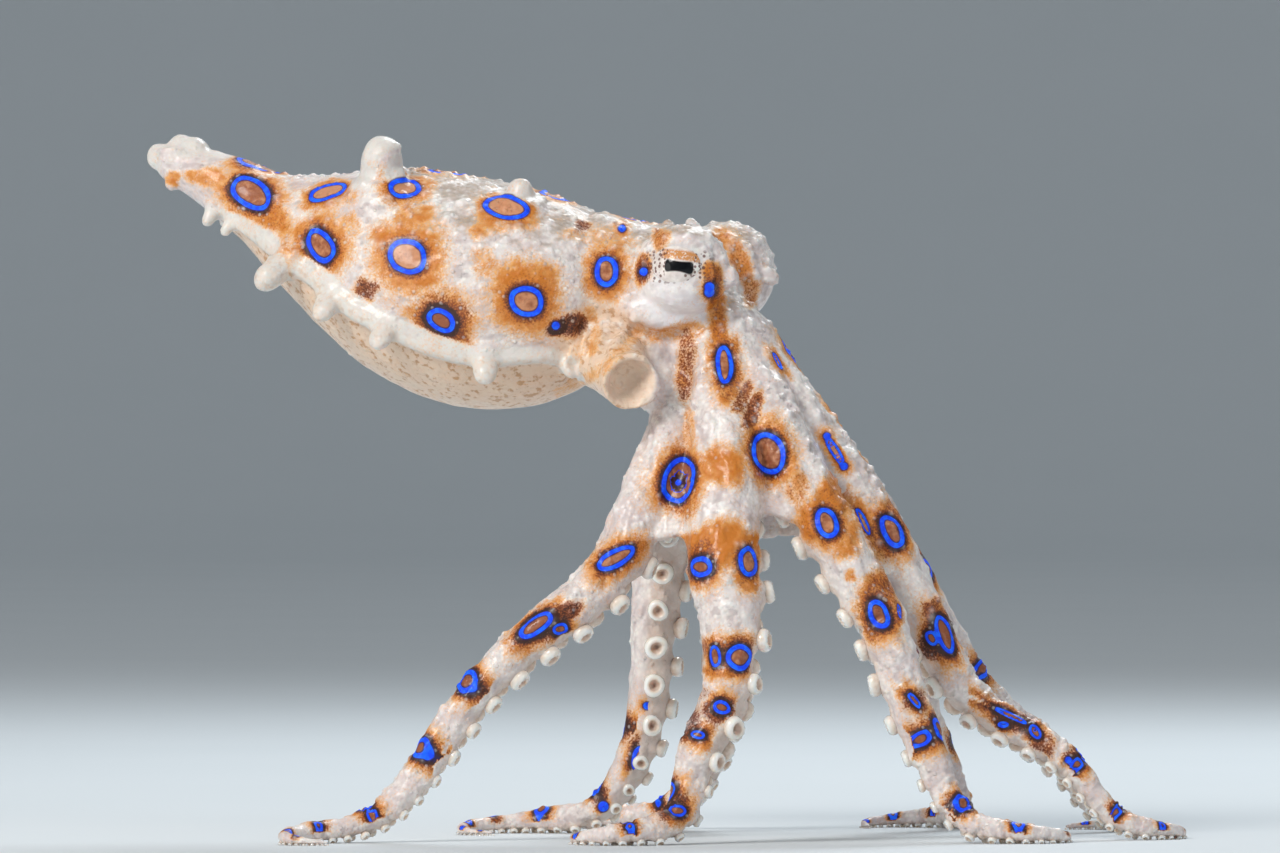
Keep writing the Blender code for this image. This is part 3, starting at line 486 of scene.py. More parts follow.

# %% [markdown]
# Each arm is a row of stations from inside the crown to its tip. An arm that lies on the floor lies on its
# suckers, so its height there is worked out from its radius. All eight are listed: the four right ones follow
# the photograph, and the left ones stand as the same animal's would.

# %% Routes of the arms
SUCKER_RIM = 0.38
SUCKER_HEIGHT = 0.3
SUCKER_SPLAY = math.radians(34)
FLOOR_BITE = 0.12
ARM_STEP = 0.1
ARMS = {
    "right_4": (
        (7.0, -1.6, 37.4, 2.0), (6.6, -2.8, 34.0, 2.4), (5.2, -4.2, 30.0, 2.5), (3.3, -5.6, 25.8, 2.4),
        (1.3, -6.8, 22.0, 2.15), (-1.2, -7.8, 19.2, 1.95), (-4.2, -8.6, 17.0, 1.8), (-7.2, -9.2, 14.6, 1.65),
        (-10.2, -9.7, 11.4, 1.5), (-12.8, -10.1, 7.6, 1.4), (-15.0, -10.5, 4.4, 1.25),
        (-17.6, -11.1, 2.0, 1.1), (-20.8, -12.2, 0, 0.92), (-23.6, -14.0, 0, 0.72),
        (-24.8, -16.4, 0, 0.54), (-23.4, -18.4, 0, 0.4), (-21.0, -18.6, 0, 0.25),
    ),
    "right_3": (
        (9.2, -3.4, 37.2, 2.2), (9.8, -5.0, 34.0, 2.7), (10.0, -6.9, 29.6, 3.0), (9.8, -8.8, 25.4, 3.1),
        (9.9, -10.3, 21.8, 3.0), (10.5, -11.5, 18.4, 2.7), (10.3, -12.5, 14.6, 2.2), (9.7, -13.2, 10.9, 1.95),
        (8.1, -13.8, 7.9, 1.75), (7.2, -14.4, 5.0, 1.5), (6.4, -15.4, 2.4, 1.3), (4.8, -17.0, 0, 1.1),
        (2.4, -18.2, 0, 0.88), (-0.2, -18.0, 0, 0.68), (-1.9, -16.2, 0, 0.5), (-1.6, -13.9, 0, 0.36),
        (0.0, -12.8, 0, 0.25),
    ),
    "right_2": (
        (11.6, -3.0, 37.2, 2.1), (13.4, -4.6, 34.0, 2.5), (15.4, -6.2, 29.4, 2.6), (18.0, -7.8, 25.0, 2.4),
        (20.1, -8.9, 21.2, 2.2), (22.1, -9.7, 17.8, 2.0), (23.3, -10.2, 14.8, 1.85), (24.2, -10.6, 11.8, 1.7),
        (25.3, -11.0, 9.0, 1.55), (26.3, -11.4, 6.3, 1.4), (27.5, -12.0, 3.7, 1.25), (29.3, -13.0, 1.6, 1.1),
        (31.9, -13.8, 0, 0.9), (34.7, -13.6, 0, 0.7), (36.7, -12.0, 0, 0.5), (36.9, -9.8, 0, 0.35),
        (35.4, -8.6, 0, 0.25),
    ),
    "right_1": (
        (13.4, -1.2, 37.4, 2.0), (15.4, -1.8, 34.4, 2.4), (18.0, -2.4, 30.4, 2.5), (20.8, -3.0, 26.6, 2.4),
        (23.2, -3.4, 22.6, 2.25), (25.2, -3.6, 18.8, 2.0), (27.0, -3.8, 15.2, 1.8), (29.0, -4.0, 11.9, 1.6),
        (31.7, -4.2, 9.8, 1.45), (34.6, -4.4, 8.2, 1.3), (37.2, -4.6, 6.3, 1.2), (39.2, -4.8, 3.9, 1.1),
        (41.2, -5.0, 1.7, 0.98), (43.8, -4.6, 0, 0.78), (46.0, -2.8, 0, 0.58), (46.4, -0.4, 0, 0.4),
        (44.8, 1.0, 0, 0.25),
    ),
    "left_1": (
        (13.4, 1.6, 37.4, 2.0), (15.4, 2.8, 34.4, 2.4), (18.0, 4.2, 30.4, 2.5), (20.8, 5.6, 26.6, 2.4),
        (23.4, 7.0, 22.6, 2.2), (25.8, 8.2, 18.8, 2.0), (28.0, 9.4, 15.0, 1.8), (30.2, 10.4, 11.8, 1.65),
        (32.8, 11.2, 9.4, 1.5), (35.6, 11.8, 7.4, 1.35), (38.0, 12.4, 5.0, 1.2), (39.8, 13.2, 2.6, 1.1),
        (41.6, 14.8, 0, 0.95), (42.8, 17.4, 0, 0.75), (42.0, 20.0, 0, 0.55), (39.8, 21.2, 0, 0.4),
        (37.6, 20.4, 0, 0.25),
    ),
    "left_2": (
        (11.6, 3.0, 37.2, 2.1), (13.6, 4.8, 34.0, 2.5), (16.2, 7.2, 29.8, 2.6), (19.2, 9.6, 25.6, 2.4),
        (21.6, 11.6, 21.4, 2.2), (23.4, 13.4, 17.4, 2.0), (24.8, 15.0, 13.4, 1.85), (26.0, 16.6, 9.8, 1.65),
        (27.2, 18.2, 6.6, 1.5), (28.4, 20.0, 3.8, 1.3), (29.2, 22.2, 1.8, 1.15), (28.6, 24.8, 0, 0.95),
        (26.4, 26.6, 0, 0.75), (23.6, 26.8, 0, 0.55), (21.6, 25.2, 0, 0.4), (22.0, 23.2, 0, 0.25),
    ),
    "left_3": (
        (9.2, 3.4, 37.2, 2.1), (9.9, 5.2, 34.0, 2.5), (9.8, 7.6, 29.4, 2.6), (9.6, 9.8, 25.0, 2.4),
        (9.8, 11.8, 20.8, 2.2), (10.2, 13.6, 16.6, 2.0), (10.2, 15.2, 12.6, 1.8), (9.6, 16.8, 9.0, 1.6),
        (8.6, 18.6, 5.8, 1.45), (7.2, 20.6, 3.2, 1.25), (5.0, 22.6, 1.4, 1.1), (2.0, 23.8, 0, 0.92),
        (-1.0, 23.4, 0, 0.72), (-3.2, 21.6, 0, 0.54), (-3.4, 19.2, 0, 0.4), (-1.6, 18.0, 0, 0.25),
    ),
    "left_4": (
        (7.0, 1.8, 37.4, 2.0), (6.8, 3.2, 34.0, 2.4), (6.3, 4.8, 30.0, 2.5), (5.7, 6.2, 25.8, 2.4),
        (5.0, 7.4, 21.8, 2.15), (4.5, 8.2, 18.0, 2.0), (4.2, 8.6, 14.2, 1.8), (3.9, 8.8, 10.6, 1.65),
        (3.2, 9.0, 7.2, 1.5), (1.8, 9.6, 4.2, 1.35), (-0.4, 10.6, 1.8, 1.2), (-3.6, 11.8, 0, 1.0),
        (-7.0, 12.0, 0, 0.8), (-9.8, 10.8, 0, 0.62), (-11.2, 8.4, 0, 0.46), (-10.2, 6.2, 0, 0.33),
        (-8.2, 5.6, 0, 0.25),
    ),
}
ARM_RING = ("right_4", "right_3", "right_2", "right_1", "left_1", "left_2", "left_3", "left_4")
ARM_TURNS = {"right_3": math.radians(62)}
TURN_HEIGHTS = (27.0, 20.0)
FLOOR_HEIGHTS = (7.0, 3.0)
MOUTH = np.array((11.6, 0.0, -12.0))     # the suckers turn towards this point under the mouth


def rest_height(radius):
    """Height of an arm's middle line where it lies on its suckers on the floor."""
    reach = (1 + SUCKER_HEIGHT) * math.cos(SUCKER_SPLAY) + SUCKER_RIM * math.sin(SUCKER_SPLAY)
    return radius * reach - FLOOR_BITE


def arm_route(name):
    route = smooth_route([(x, y, max(z, rest_height(r)), r) for x, y, z, r in ARMS[name]], ARM_STEP)
    route[:, 2] = np.maximum(route[:, 2], rest_height(route[:, 3]))
    return route


def sucker_sides(name, route):
    """The way the suckers face all along an arm: towards the mouth's axis, turned on a twisted arm,
    and down near the floor."""
    ways = tangents(route)
    inward = unit(MOUTH - route[:, :3])
    inward = unit(inward - ways * np.sum(inward * ways, axis=1, keepdims=True))
    angle = ARM_TURNS.get(name, 0.0) * np.interp(-route[:, 2], [-TURN_HEIGHTS[0], -TURN_HEIGHTS[1]], [0, 1])
    inward = inward * np.cos(angle)[:, None] + np.cross(ways, inward) * np.sin(angle)[:, None]
    near_floor = np.interp(-route[:, 2], [-FLOOR_HEIGHTS[0], -FLOOR_HEIGHTS[1]], [0, 1])[:, None]
    facing = inward * (1 - near_floor) - UP * near_floor
    return unit(facing - ways * np.sum(facing * ways, axis=1, keepdims=True))


routes = {name: arm_route(name) for name in ARM_RING}
undersides = {name: sucker_sides(name, route) for name, route in routes.items()}
print("arms of", [round(len(route) * ARM_STEP) for route in routes.values()], "mm")

# %% [markdown]
# The web is a thin skin between each arm and the next. Its free edge hangs in an arch, higher in the
# middle, where the real one is drawn tight. Each panel is a sheet that Solidify gives its thickness.

# %% Web
WEB_EDGE = (24.2, 25.9, 21.0, 22.3, 21.8, 24.2, 21.0, 23.2)
WEB_TOP = 34.6
WEB_FOOT = 20.2
WEB_THICKNESS = 0.95
WEB_OUTSET = 0.35
WEB_BOW = 0.5
WEB_ARCH = 0.6          # the lower, the fuller the arch
WEB_ACROSS, WEB_DOWN = 14, 22


def at_height(route, height):
    """Where an arm's middle line passes a height, and its radius there."""
    return np.array([np.interp(-height, -route[:, 2], route[:, k]) for k in (0, 1, 2, 3)])


def web_panel(first, second, edge_height):
    tops = at_height(first, WEB_TOP)[:3] + at_height(second, WEB_TOP)[:3]
    outward = unit((tops - 2 * MOUTH) * (1, 1, 0))
    bm = bmesh.new()
    grid = []
    for v in np.linspace(0, 1, WEB_DOWN):
        row = []
        for u in np.linspace(0, 1, WEB_ACROSS):
            arch = 1 - (2 * u - 1) ** 2
            low = WEB_FOOT + (edge_height - WEB_FOOT) * arch ** WEB_ARCH
            z = WEB_TOP + (low - WEB_TOP) * v
            ends = []
            for route in (first, second):
                x, y, _, radius = at_height(route, z)
                ends.append(np.array((x, y, z)) + outward * radius * WEB_OUTSET)
            point = ends[0] * (1 - u) + ends[1] * u - outward * WEB_BOW * arch * v
            row.append(bm.verts.new((point + SHIFT) * MM))
        grid.append(row)
    cover(bm, grid, closed=False)
    sheet = mesh_object("web", bm)
    solid = sheet.modifiers.new("Thickness", "SOLIDIFY")
    solid.thickness = WEB_THICKNESS * MM
    solid.offset = 0
    return sheet


webs = [web_panel(routes[name], routes[neighbour], edge)
        for name, neighbour, edge in zip(ARM_RING, ARM_RING[1:] + ARM_RING[:1], WEB_EDGE)]
print(len(webs), "web panels")

# %% [markdown]
# An arm's section is round above and flatter underneath, where the two rows of suckers stand. The rings
# are turned along the arm so that the flat side always faces the way that its suckers do.

# %% Arms, mantle, head and crown
ARM_SIDES = 28
ARM_UNDERSIDE = 0.8
ARM_RING_EVERY = 4
MANTLE_SIDES, HEAD_SIDES, FUNNEL_SIDES = 72, 64, 48


def arm_form(name):
    route, unders = routes[name], undersides[name]
    sides = np.cross(tangents(route), unders)
    rings = [oval(p[:3], side, under, p[3], p[3], ARM_SIDES, ARM_UNDERSIDE)
             for p, side, under in zip(route, sides, unders)]
    return loft("arm", rings[::ARM_RING_EVERY])


forms = [arm_form(name) for name in ARM_RING] + webs
mantle_form = upright_loft("mantle", MANTLE, MANTLE_WIDTH, MANTLE_SIDES)
forms.append(mantle_form)
forms.append(upright_loft("head", HEAD, HEAD_WIDTH, HEAD_SIDES))
forms.append(square_loft("crown", CROWN, HEAD_SIDES))
forms.append(square_loft("funnel", FUNNEL, FUNNEL_SIDES))
forms += [ball(np.array(centre), CHEEK_RADIUS, CHEEK_STRETCH) for centre in CHEEK]
forms += [ball(np.array(centre), radius) for centre, radius in TAIL_KNOBS + NECK_FILL]
forms += [papilla(*horn) for horn in (TAIL_HOOK, *HEAD_HORNS)]
for side, (centre, look) in EYES.items():
    forms.append(ball(np.array(centre) - unit(look) * MOUND_SINK, EYE_MOUND[side]))
print(len(forms), "forms so far")

# %% [markdown]
# Along each flank runs a white ridge, and soft papillae hang from it. Their places are known from the side,
# so a ray along the line of sight finds the mantle's surface there. The far flank is the near one, mirrored
# over the upright plane through the mantle's middle line. The papillae's own lines are kept: the
# markings need them later.

# %% Ridge and papillae
VIEWER_SIDE = -80.0          # rays start here, on the viewer's side of the animal
RIDGE_STEP = 0.4
RIDGE_SIDES = 20
CREST_PLUMP = 1.1


def sight_finder(obj):
    """A function from (x, z) to the point and normal that the viewer sees there, or None."""
    tree = BVHTree.FromObject(obj, bpy.context.evaluated_depsgraph_get())

    def seen(x, z):
        start = (np.array((x, VIEWER_SIDE, z)) + SHIFT) * MM
        point, normal, _, _ = tree.ray_cast(Vector(start), Vector((0, 1, 0)))
        return (np.array(point) / MM - SHIFT, np.array(normal)) if point else None
    return seen


TAIL, NECK = np.array(MANTLE[0][:3]), np.array(MANTLE[-1][:3])
ACROSS = unit(np.array((TAIL[1] - NECK[1], NECK[0] - TAIL[0], 0.0)))


def mirrored(vector, is_place=True):
    """The same place or way on the mantle's other side."""
    start = TAIL if is_place else np.zeros(3)
    return vector - 2 * float((vector - start) @ ACROSS) * ACROSS


on_mantle = sight_finder(mantle_form)
pale_lines = []        # points and radii of what is white: the ridge and the papillae
for flip in (False, True):
    line = [on_mantle(x, z)[0] for x, z in RIDGE]
    line = [(*(mirrored(point) if flip else point), RIDGE_RADIUS) for point in line]
    route = smooth_route(line, RIDGE_STEP)
    route[:, 3] *= np.sin(np.linspace(0.25, math.pi - 0.25, len(route))) ** 0.4
    sides = unit(np.cross(tangents(route), UP))
    ups = np.cross(sides, tangents(route))
    forms.append(loft("ridge", [oval(p[:3], s, u, p[3] * 0.85, p[3] * 1.25, RIDGE_SIDES)
                                for p, s, u in zip(route, sides, ups)]))
    pale_lines.append(route)
    for (x, z), length, radius, lean, bulb, flat, sag in PAPILLAE:
        if flip and lean[2] > CREST_LEAN:
            continue
        point, way = on_mantle(x, z)[0], unit(lean)
        if flip:
            point, way = mirrored(point), mirrored(way, is_place=False)
        plump = CREST_PLUMP if lean[2] > CREST_LEAN else PLUMP
        forms.append(papilla(point, way, length * LONGER, radius * plump, bulb, min(flat * plump, 1.0), sag))
        reach = np.linspace(0.1, 1.0, 8)[:, None]
        axis = point + way * length * reach - UP * sag * reach ** 2
        pale_lines.append(np.hstack((axis, np.full_like(reach, radius * 0.9))))
pale_lines += [np.array([(*centre, radius)]) for centre, radius in TAIL_KNOBS]
print(len(forms), "forms,", len(pale_lines), "white lines")

# %% [markdown]
# All the forms are joined, and a voxel remesh grows them into one closed skin, as flesh is. The sockets,
# the openings between the lids and the funnel's bore are then cut out, and a second remesh and some
# smoothing turn the sharp edges that the cuts leave into soft lips.

# %% One skin
SKIN_VOXEL = 0.18
EYE_CLEARANCE = 0.06
CUTTER_SIDES = 40
OPENING_FLARE = ((0.3, 0.93), (0.72, 0.97), (1.5, 1.5))     # out along the eye's look, and how wide
BORE_PROFILE = ((2.0, FUNNEL_BORE + 1.6), (0.6, FUNNEL_BORE + 0.7), (0.0, FUNNEL_BORE + 0.25),
                (-0.7, FUNNEL_BORE - 0.1), (-1.3, FUNNEL_BORE * 0.82), (-1.8, FUNNEL_BORE * 0.6),
                (-FUNNEL_BORE_DEPTH, FUNNEL_BORE * 0.3))


def joined(name, objects):
    """One mesh object that holds the evaluated meshes of several, which are then removed."""
    bm = bmesh.new()
    graph = bpy.context.evaluated_depsgraph_get()
    for obj in objects:
        mesh = bpy.data.meshes.new_from_object(obj.evaluated_get(graph))
        bm.from_mesh(mesh)
        bpy.data.meshes.remove(mesh)
    for obj in objects:
        bpy.data.objects.remove(obj)
    return mesh_object(name, bm)


def applied(obj, kind, **settings):
    """Adds one modifier, sets it and applies it."""
    modifier = obj.modifiers.new(kind.title(), kind)
    for key, value in settings.items():
        setattr(modifier, key, value)
    graph = bpy.context.evaluated_depsgraph_get()
    mesh = bpy.data.meshes.new_from_object(obj.evaluated_get(graph))
    obj.modifiers.clear()
    obj.data = mesh
    return obj


skin = joined("skin", forms)
applied(skin, "REMESH", mode="VOXEL", voxel_size=SKIN_VOXEL * MM)
applied(skin, "SMOOTH", iterations=4, factor=0.5)
cutters = []
for side, (centre, look) in EYES.items():
    centre = np.array(centre)
    ahead, level, upright = frame_on(look)
    wide, high = EYE_OPENING
    cutters.append(ball(centre, EYE_RADIUS + EYE_CLEARANCE))
    cutters.append(loft("opening", [oval(centre + ahead * EYE_MOUND[side] * reach, level, upright,
                                         wide * flare, high * flare, CUTTER_SIDES)
                                    for reach, flare in OPENING_FLARE]))
funnel_way = frame_on(np.array(FUNNEL[-1][:3]) - np.array(FUNNEL[-3][:3]))
funnel_end = np.array(FUNNEL[-1][:3])
cutters.append(loft("bore", [oval(funnel_end + funnel_way[0] * s, *funnel_way[1:], r, r, CUTTER_SIDES)
                             for s, r in BORE_PROFILE]))
for cutter in cutters:
    applied(skin, "BOOLEAN", object=cutter, operation="DIFFERENCE", solver="MANIFOLD")
    bpy.data.objects.remove(cutter)
applied(skin, "REMESH", mode="VOXEL", voxel_size=SKIN_VOXEL * MM)
applied(skin, "SMOOTH", iterations=6, factor=0.5)
print("skin of", len(skin.data.vertices), "vertices")

# %% [markdown]
# The remeshed skin is smooth as wax. Living skin has folds, furrows along the arms, and small warts called
# tubercles. They are sculpted by moving the skin's points along their normals, so they are real shape and
# show in the outline. Smooth random values, worked out on a lattice for all points at once, drive some of
# them, and the nearest points of a few lines drive the rest.

# %% Sculpting tools
CLOUD_TABLE = 4096
CLOUD_PRIMES = (7919, 104729, 1299709)          # they scatter neighbouring cells over the table


def cloud(points, grain, seed):
    """Smooth random values between -1 and 1, with lumps about a grain wide."""
    table = np.random.default_rng(seed).uniform(-1, 1, CLOUD_TABLE)
    scaled = points / grain
    cell = np.floor(scaled).astype(np.int64)
    part = scaled - cell
    part = part * part * (3 - 2 * part)
    total = np.zeros(len(points))
    for corner in np.ndindex(2, 2, 2):
        key = (cell + corner) @ np.array(CLOUD_PRIMES) % len(table)
        total += table[key] * np.prod(np.where(corner, part, 1 - part), axis=1)
    return total


def step(value, low, high):
    """0 below low, 1 above high, a soft step between. Low may be the greater, to turn it round."""
    t = np.clip((value - low) / (high - low), 0, 1)
    return t * t * (3 - 2 * t)


class Surface:
    """A mesh's points and normals in the pose's frame, in millimetres."""

    def __init__(self, obj):
        self.obj = obj
        self.read()

    def read(self):
        mesh = self.obj.data
        flat = np.empty(len(mesh.vertices) * 3)
        mesh.vertices.foreach_get("co", flat)
        self.points = flat.reshape(-1, 3) / MM - SHIFT
        mesh.vertex_normals.foreach_get("vector", flat)
        self.normals = flat.reshape(-1, 3).copy()

    def place(self, points):
        """Gives every point a new place."""
        self.obj.data.vertices.foreach_set("co", ((points + SHIFT) * MM).ravel())
        self.obj.data.update()
        self.read()

    def push(self, heights):
        """Moves each point along its normal."""
        self.place(self.points + self.normals * heights[:, None])

    def carry(self, **fields):
        """Stores one value for each point on the mesh, for its material to read."""
        for name, values in fields.items():
            attribute = self.obj.data.attributes.new(name, "FLOAT", "POINT")
            attribute.data.foreach_set("value", np.asarray(values, np.float32))


def point_tree(points):
    """A tree that finds the points near a place quickly."""
    tree = KDTree(len(points))
    for k, point in enumerate(points):
        tree.insert(point, k)
    tree.balance()
    return tree


def nearest(points, targets):
    """For each target, the index of the nearest of the points, and its distance."""
    tree = point_tree(points)
    found = [tree.find(target)[1:] for target in targets]
    return np.array([f[0] for f in found]), np.array([f[1] for f in found])


surface = Surface(skin)
arm_points = np.vstack([routes[name][::3] for name in ARM_RING])
arm_ways = np.vstack([tangents(routes[name])[::3] for name in ARM_RING])
arm_unders = np.vstack([undersides[name][::3] for name in ARM_RING])
spot, spot_distance = nearest(arm_points[:, :3], surface.points)
print("nearest arm found for", len(spot), "points")

# %% [markdown]
# Each point of the skin now knows the nearest place on an arm's middle line. From that follow how far down
# an arm it lies, whether it is on the outer side or the suckers' side, and the way the arm runs there.
# Furrows are noise stretched along that way. Folds run along lines that the photograph shows, and each has a
# lip beside it. Flesh swells round the foot of every sucker. Tubercles are round bumps scattered where the
# photograph shows them: many on the back, some on the head and the arms, few on the belly. Last, the lids'
# edges are laid on the eyeballs.

# %% Folds, furrows and tubercles
FURROW_STRETCH = 0.84          # share of the length along an arm that furrows leave out
MANTLE_STRETCH = np.array((0.45, 1.0, 1.0))
arm_way = arm_ways[spot]
arm_under = np.sum(unit(surface.points - arm_points[spot, :3]) * arm_unders[spot], axis=1)
on_arm = step(spot_distance / arm_points[spot, 3], 1.45, 1.15) * step(surface.points[:, 2], 34.5, 32.5)
below_head = step(surface.points[:, 2], 41.0, 37.0) * step(surface.points[:, 0], 1.0, 4.0)
on_mantle_body = step(surface.points[:, 0], 0.5, -2.0)
along = np.sum(surface.points * arm_way, axis=1, keepdims=True)
stretched = surface.points - arm_way * along * FURROW_STRETCH
stretched_mantle = surface.points * MANTLE_STRETCH
height = 0.09 * cloud(surface.points, 2.4, 1) + 0.035 * cloud(surface.points, 0.9, 2)
furrows = 0.17 * cloud(stretched, 1.1, 3) + 0.11 * cloud(stretched, 0.55, 4)
furrows += 0.09 * cloud(surface.points, 0.75, 6)
height += furrows * np.maximum(on_arm, below_head) * step(arm_points[spot, 3], 0.3, 1.2)
height += 0.07 * cloud(stretched_mantle, 0.8, 5) * on_mantle_body * step(surface.normals[:, 2], -0.2, 0.5)
surface.push(height)
grain_arm = 0.6 * cloud(stretched, 0.5, 7) + 0.4 * cloud(stretched, 0.28, 8)
grain_body = 0.6 * cloud(stretched_mantle, 0.5, 9) + 0.4 * cloud(stretched_mantle, 0.3, 10)
arm_share = np.clip(on_arm + below_head, 0, 1)
streak = grain_arm * arm_share + grain_body * (1 - arm_share)

# Folds seen in the photograph: pixels along each, depth, half width, and the height of the lip beside it
FOLDS = (
    (((584, 306), (584, 322), (581, 342), (577, 362), (571, 384)), 0.50, 0.42, 0.22),
    (((600, 306), (593, 326), (590, 348), (588, 368)), 0.22, 0.40, 0.10),
    (((622, 322), (609, 340), (602, 360), (598, 378)), 0.20, 0.40, 0.10),
    (((640, 318), (632, 334), (622, 348)), 0.18, 0.35, 0.08),
    (((612, 314), (634, 327), (660, 334), (688, 334), (708, 322)), 0.28, 0.60, 0.12),
    (((700, 240), (716, 252), (722, 272), (716, 296), (712, 316)), 0.22, 0.45, 0.10),
    (((664, 232), (650, 240), (640, 254), (636, 272)), 0.14, 0.40, 0.06),
    (((712, 232), (730, 246), (741, 262), (744, 284), (738, 306)), 0.30, 0.50, 0.10),
    (((694, 344), (690, 372), (684, 404), (676, 440)), 0.16, 0.60, 0.06),
    (((716, 400), (716, 440), (712, 480), (712, 520)), 0.14, 0.70, 0.05),
    (((800, 400), (822, 440), (838, 480), (856, 520)), 0.18, 0.60, 0.06),
    (((790, 420), (800, 460), (806, 500)), 0.12, 0.50, 0.05),
    (((655, 500), (650, 530), (640, 552)), 0.12, 0.60, 0.05),
)
FOLD_STEP = 0.25
FOLD_MARGIN = 2.5          # how far round a fold its slopes reach


def folds():
    """Heights of the folds' furrows and lips."""
    seen = sight_finder(skin)
    total = np.zeros(len(surface.points))
    for pixels, depth, width, lip in FOLDS:
        hits = [seen(*from_pixel(px, py)) for px, py in pixels]
        line = smooth_route([(*hit[0], 0.0) for hit in hits if hit], FOLD_STEP)[:, :3]
        low, high = line.min(0) - FOLD_MARGIN, line.max(0) + FOLD_MARGIN
        near = np.flatnonzero(np.all((surface.points > low) & (surface.points < high), axis=1))
        place, distance = nearest(line, surface.points[near])
        ends = step(place, -1, len(line) * 0.25) * step(place, len(line), len(line) * 0.75)
        total[near] += ends * (lip * np.exp(-((distance - 1.9 * width) / (0.8 * width)) ** 2)
                               - depth * np.exp(-(distance / width) ** 2))
    return total


surface.push(folds())

CHEEK_DROP = (-0.6, 0.0, -2.6)     # from an eye to the smooth bulge under it
TUBERCLES = 1500
TUBERCLE_SIZES = (3.0, 0.06)       # shape and scale of their gamma draw
SMALLEST, LARGEST = 0.15, 0.55
THIN_ARM, ON_THIN_ARM = 0.9, 0.6
BUMP_HEIGHT = 0.55                 # of a tubercle's size


def tubercles(count, seed):
    """Heights of scattered round bumps, and how white each point of them is."""
    draw = np.random.default_rng(seed)
    x, z, up = surface.points[:, 0], surface.points[:, 2], surface.normals[:, 2]
    high = step(z, 38.0, 42.0)
    back = step(up, 0.15, 0.75) * high
    outer = step(arm_under, 0.1, -0.5) * np.maximum(on_arm, below_head)
    weight = 0.14 + 5.0 * back * step(x, -33.0, -22.0) + 1.6 * outer + 1.2 * high * step(x, -2.0, 3.0)
    weight *= (1 - 0.93 * step(up, -0.1, -0.5) * step(x, 2.0, -1.0)) * (1 - 0.9 * pale)
    for centre, _ in EYES.values():
        from_cheek = np.linalg.norm(surface.points - centre - CHEEK_DROP, axis=1)
        weight *= 1 - 0.95 * np.exp(-(from_cheek / 3.2) ** 2)
    picks = draw.choice(len(x), count, replace=False, p=weight / weight.sum())
    tree = point_tree(surface.points)
    bumps, white = np.zeros(len(x)), np.zeros(len(x))
    for k, size in zip(picks, draw.gamma(*TUBERCLE_SIZES, count) + SMALLEST):
        thin = on_arm[k] and arm_points[spot[k], 3] <= THIN_ARM
        size = min(size, LARGEST) * (ON_THIN_ARM if thin else 1.0)
        for _, j, distance in tree.find_range(surface.points[k], size * 1.6):
            dome = math.exp(-(distance / (0.72 * size)) ** 2)
            bumps[j] = max(bumps[j], size * BUMP_HEIGHT * dome)
            white[j] = max(white[j], dome)
    return bumps, white


SUCKER_SPACE = 1.95          # in rims, from one to the next, which stands in the other row
LARGEST_RIM = 0.86
SUCKER_SWELL = 0.32          # how much larger they are where the arm is off the floor
SWELL_HEIGHTS = (4.0, 9.0)
SUCKERS_BELOW = 31.5
SUCKER_RENDER_RIM = 0.365
SUCKER_ROOT = 0.82


def sucker_row(name):
    """Centres, axes, rims and a turn for each of one arm's suckers."""
    route, unders, ways = routes[name], undersides[name], tangents(routes[name])
    draw = random.Random("suckers " + name)
    at = int(np.argmax(route[:, 2] < SUCKERS_BELOW))
    side, found = 1, []
    while at < len(route) - 3:
        radius = route[at, 3]
        swell = 1 + SUCKER_SWELL * step(route[at, 2], *SWELL_HEIGHTS)
        aside = np.cross(ways[at], unders[at]) * side
        axis = unders[at] * math.cos(SUCKER_SPLAY) + aside * math.sin(SUCKER_SPLAY)
        rim = min(radius * SUCKER_RENDER_RIM * swell, LARGEST_RIM) * draw.uniform(0.93, 1.05)
        found.append((route[at, :3] + axis * radius * SUCKER_ROOT,
                      unit(axis + ways[at] * draw.uniform(-0.1, 0.1) + aside * draw.uniform(0.0, 0.15)),
                      rim, draw.uniform(0, 6.3)))
        side = -side
        at += max(2, round(SUCKER_SPACE * rim / ARM_STEP))
    return found


sucker_rows = {name: sucker_row(name) for name in ARM_RING}


def pads():
    """Flesh swells round each sucker's foot."""
    feet = np.array([(*centre, rim) for row in sucker_rows.values() for centre, _, rim, _ in row])
    foot, distance = nearest(feet[:, :3], surface.points)
    rims = feet[foot, 3]
    return 0.42 * rims * np.exp(-((distance - 0.5 * rims) / (0.95 * rims)) ** 2) * on_arm


surface.push(pads())


def near_lines(lines, low, high):
    """1 close to any of some lines of points and radii, 0 away from them. Low and high are in radii."""
    line = np.vstack([part[:, :4] for part in lines])
    place, distance = nearest(line[:, :3], surface.points)
    return step(distance / line[place, 3], high, low)


pale = near_lines(pale_lines, 1.15, 1.75)
bumps, bead = tubercles(TUBERCLES, seed=11)
surface.push(bumps)

LID_THICKNESS = 0.42
LID_BITE = 0.07          # how far a lid's edge lies under the eyeball's surface


def close_lids():
    """Draws the lids' edges onto the eyeballs, and leaves a soft rim round them."""
    points = surface.points
    for centre, look in EYES.values():
        ahead, level, upright = frame_on(look)
        apart = points - np.array(centre)
        away = np.linalg.norm(apart, axis=1)
        out = np.hypot(apart @ level / EYE_OPENING[0], apart @ upright / EYE_OPENING[1])
        front = (apart @ ahead > 0.8) & (away < EYE_RADIUS + 1.8) & (away > EYE_RADIUS - 0.1)
        wanted = EYE_RADIUS - LID_BITE + LID_THICKNESS * step(out, 0.98, 1.45)
        heights = np.where(front, step(out, 1.75, 1.2) * np.minimum(wanted - away, 0.0), 0.0)
        points = points + apart / away[:, None] * heights[:, None]
    surface.place(points)


close_lids()
print("skin sculpted,", round(float(bumps.max()), 2), "mm at the tallest tubercle")

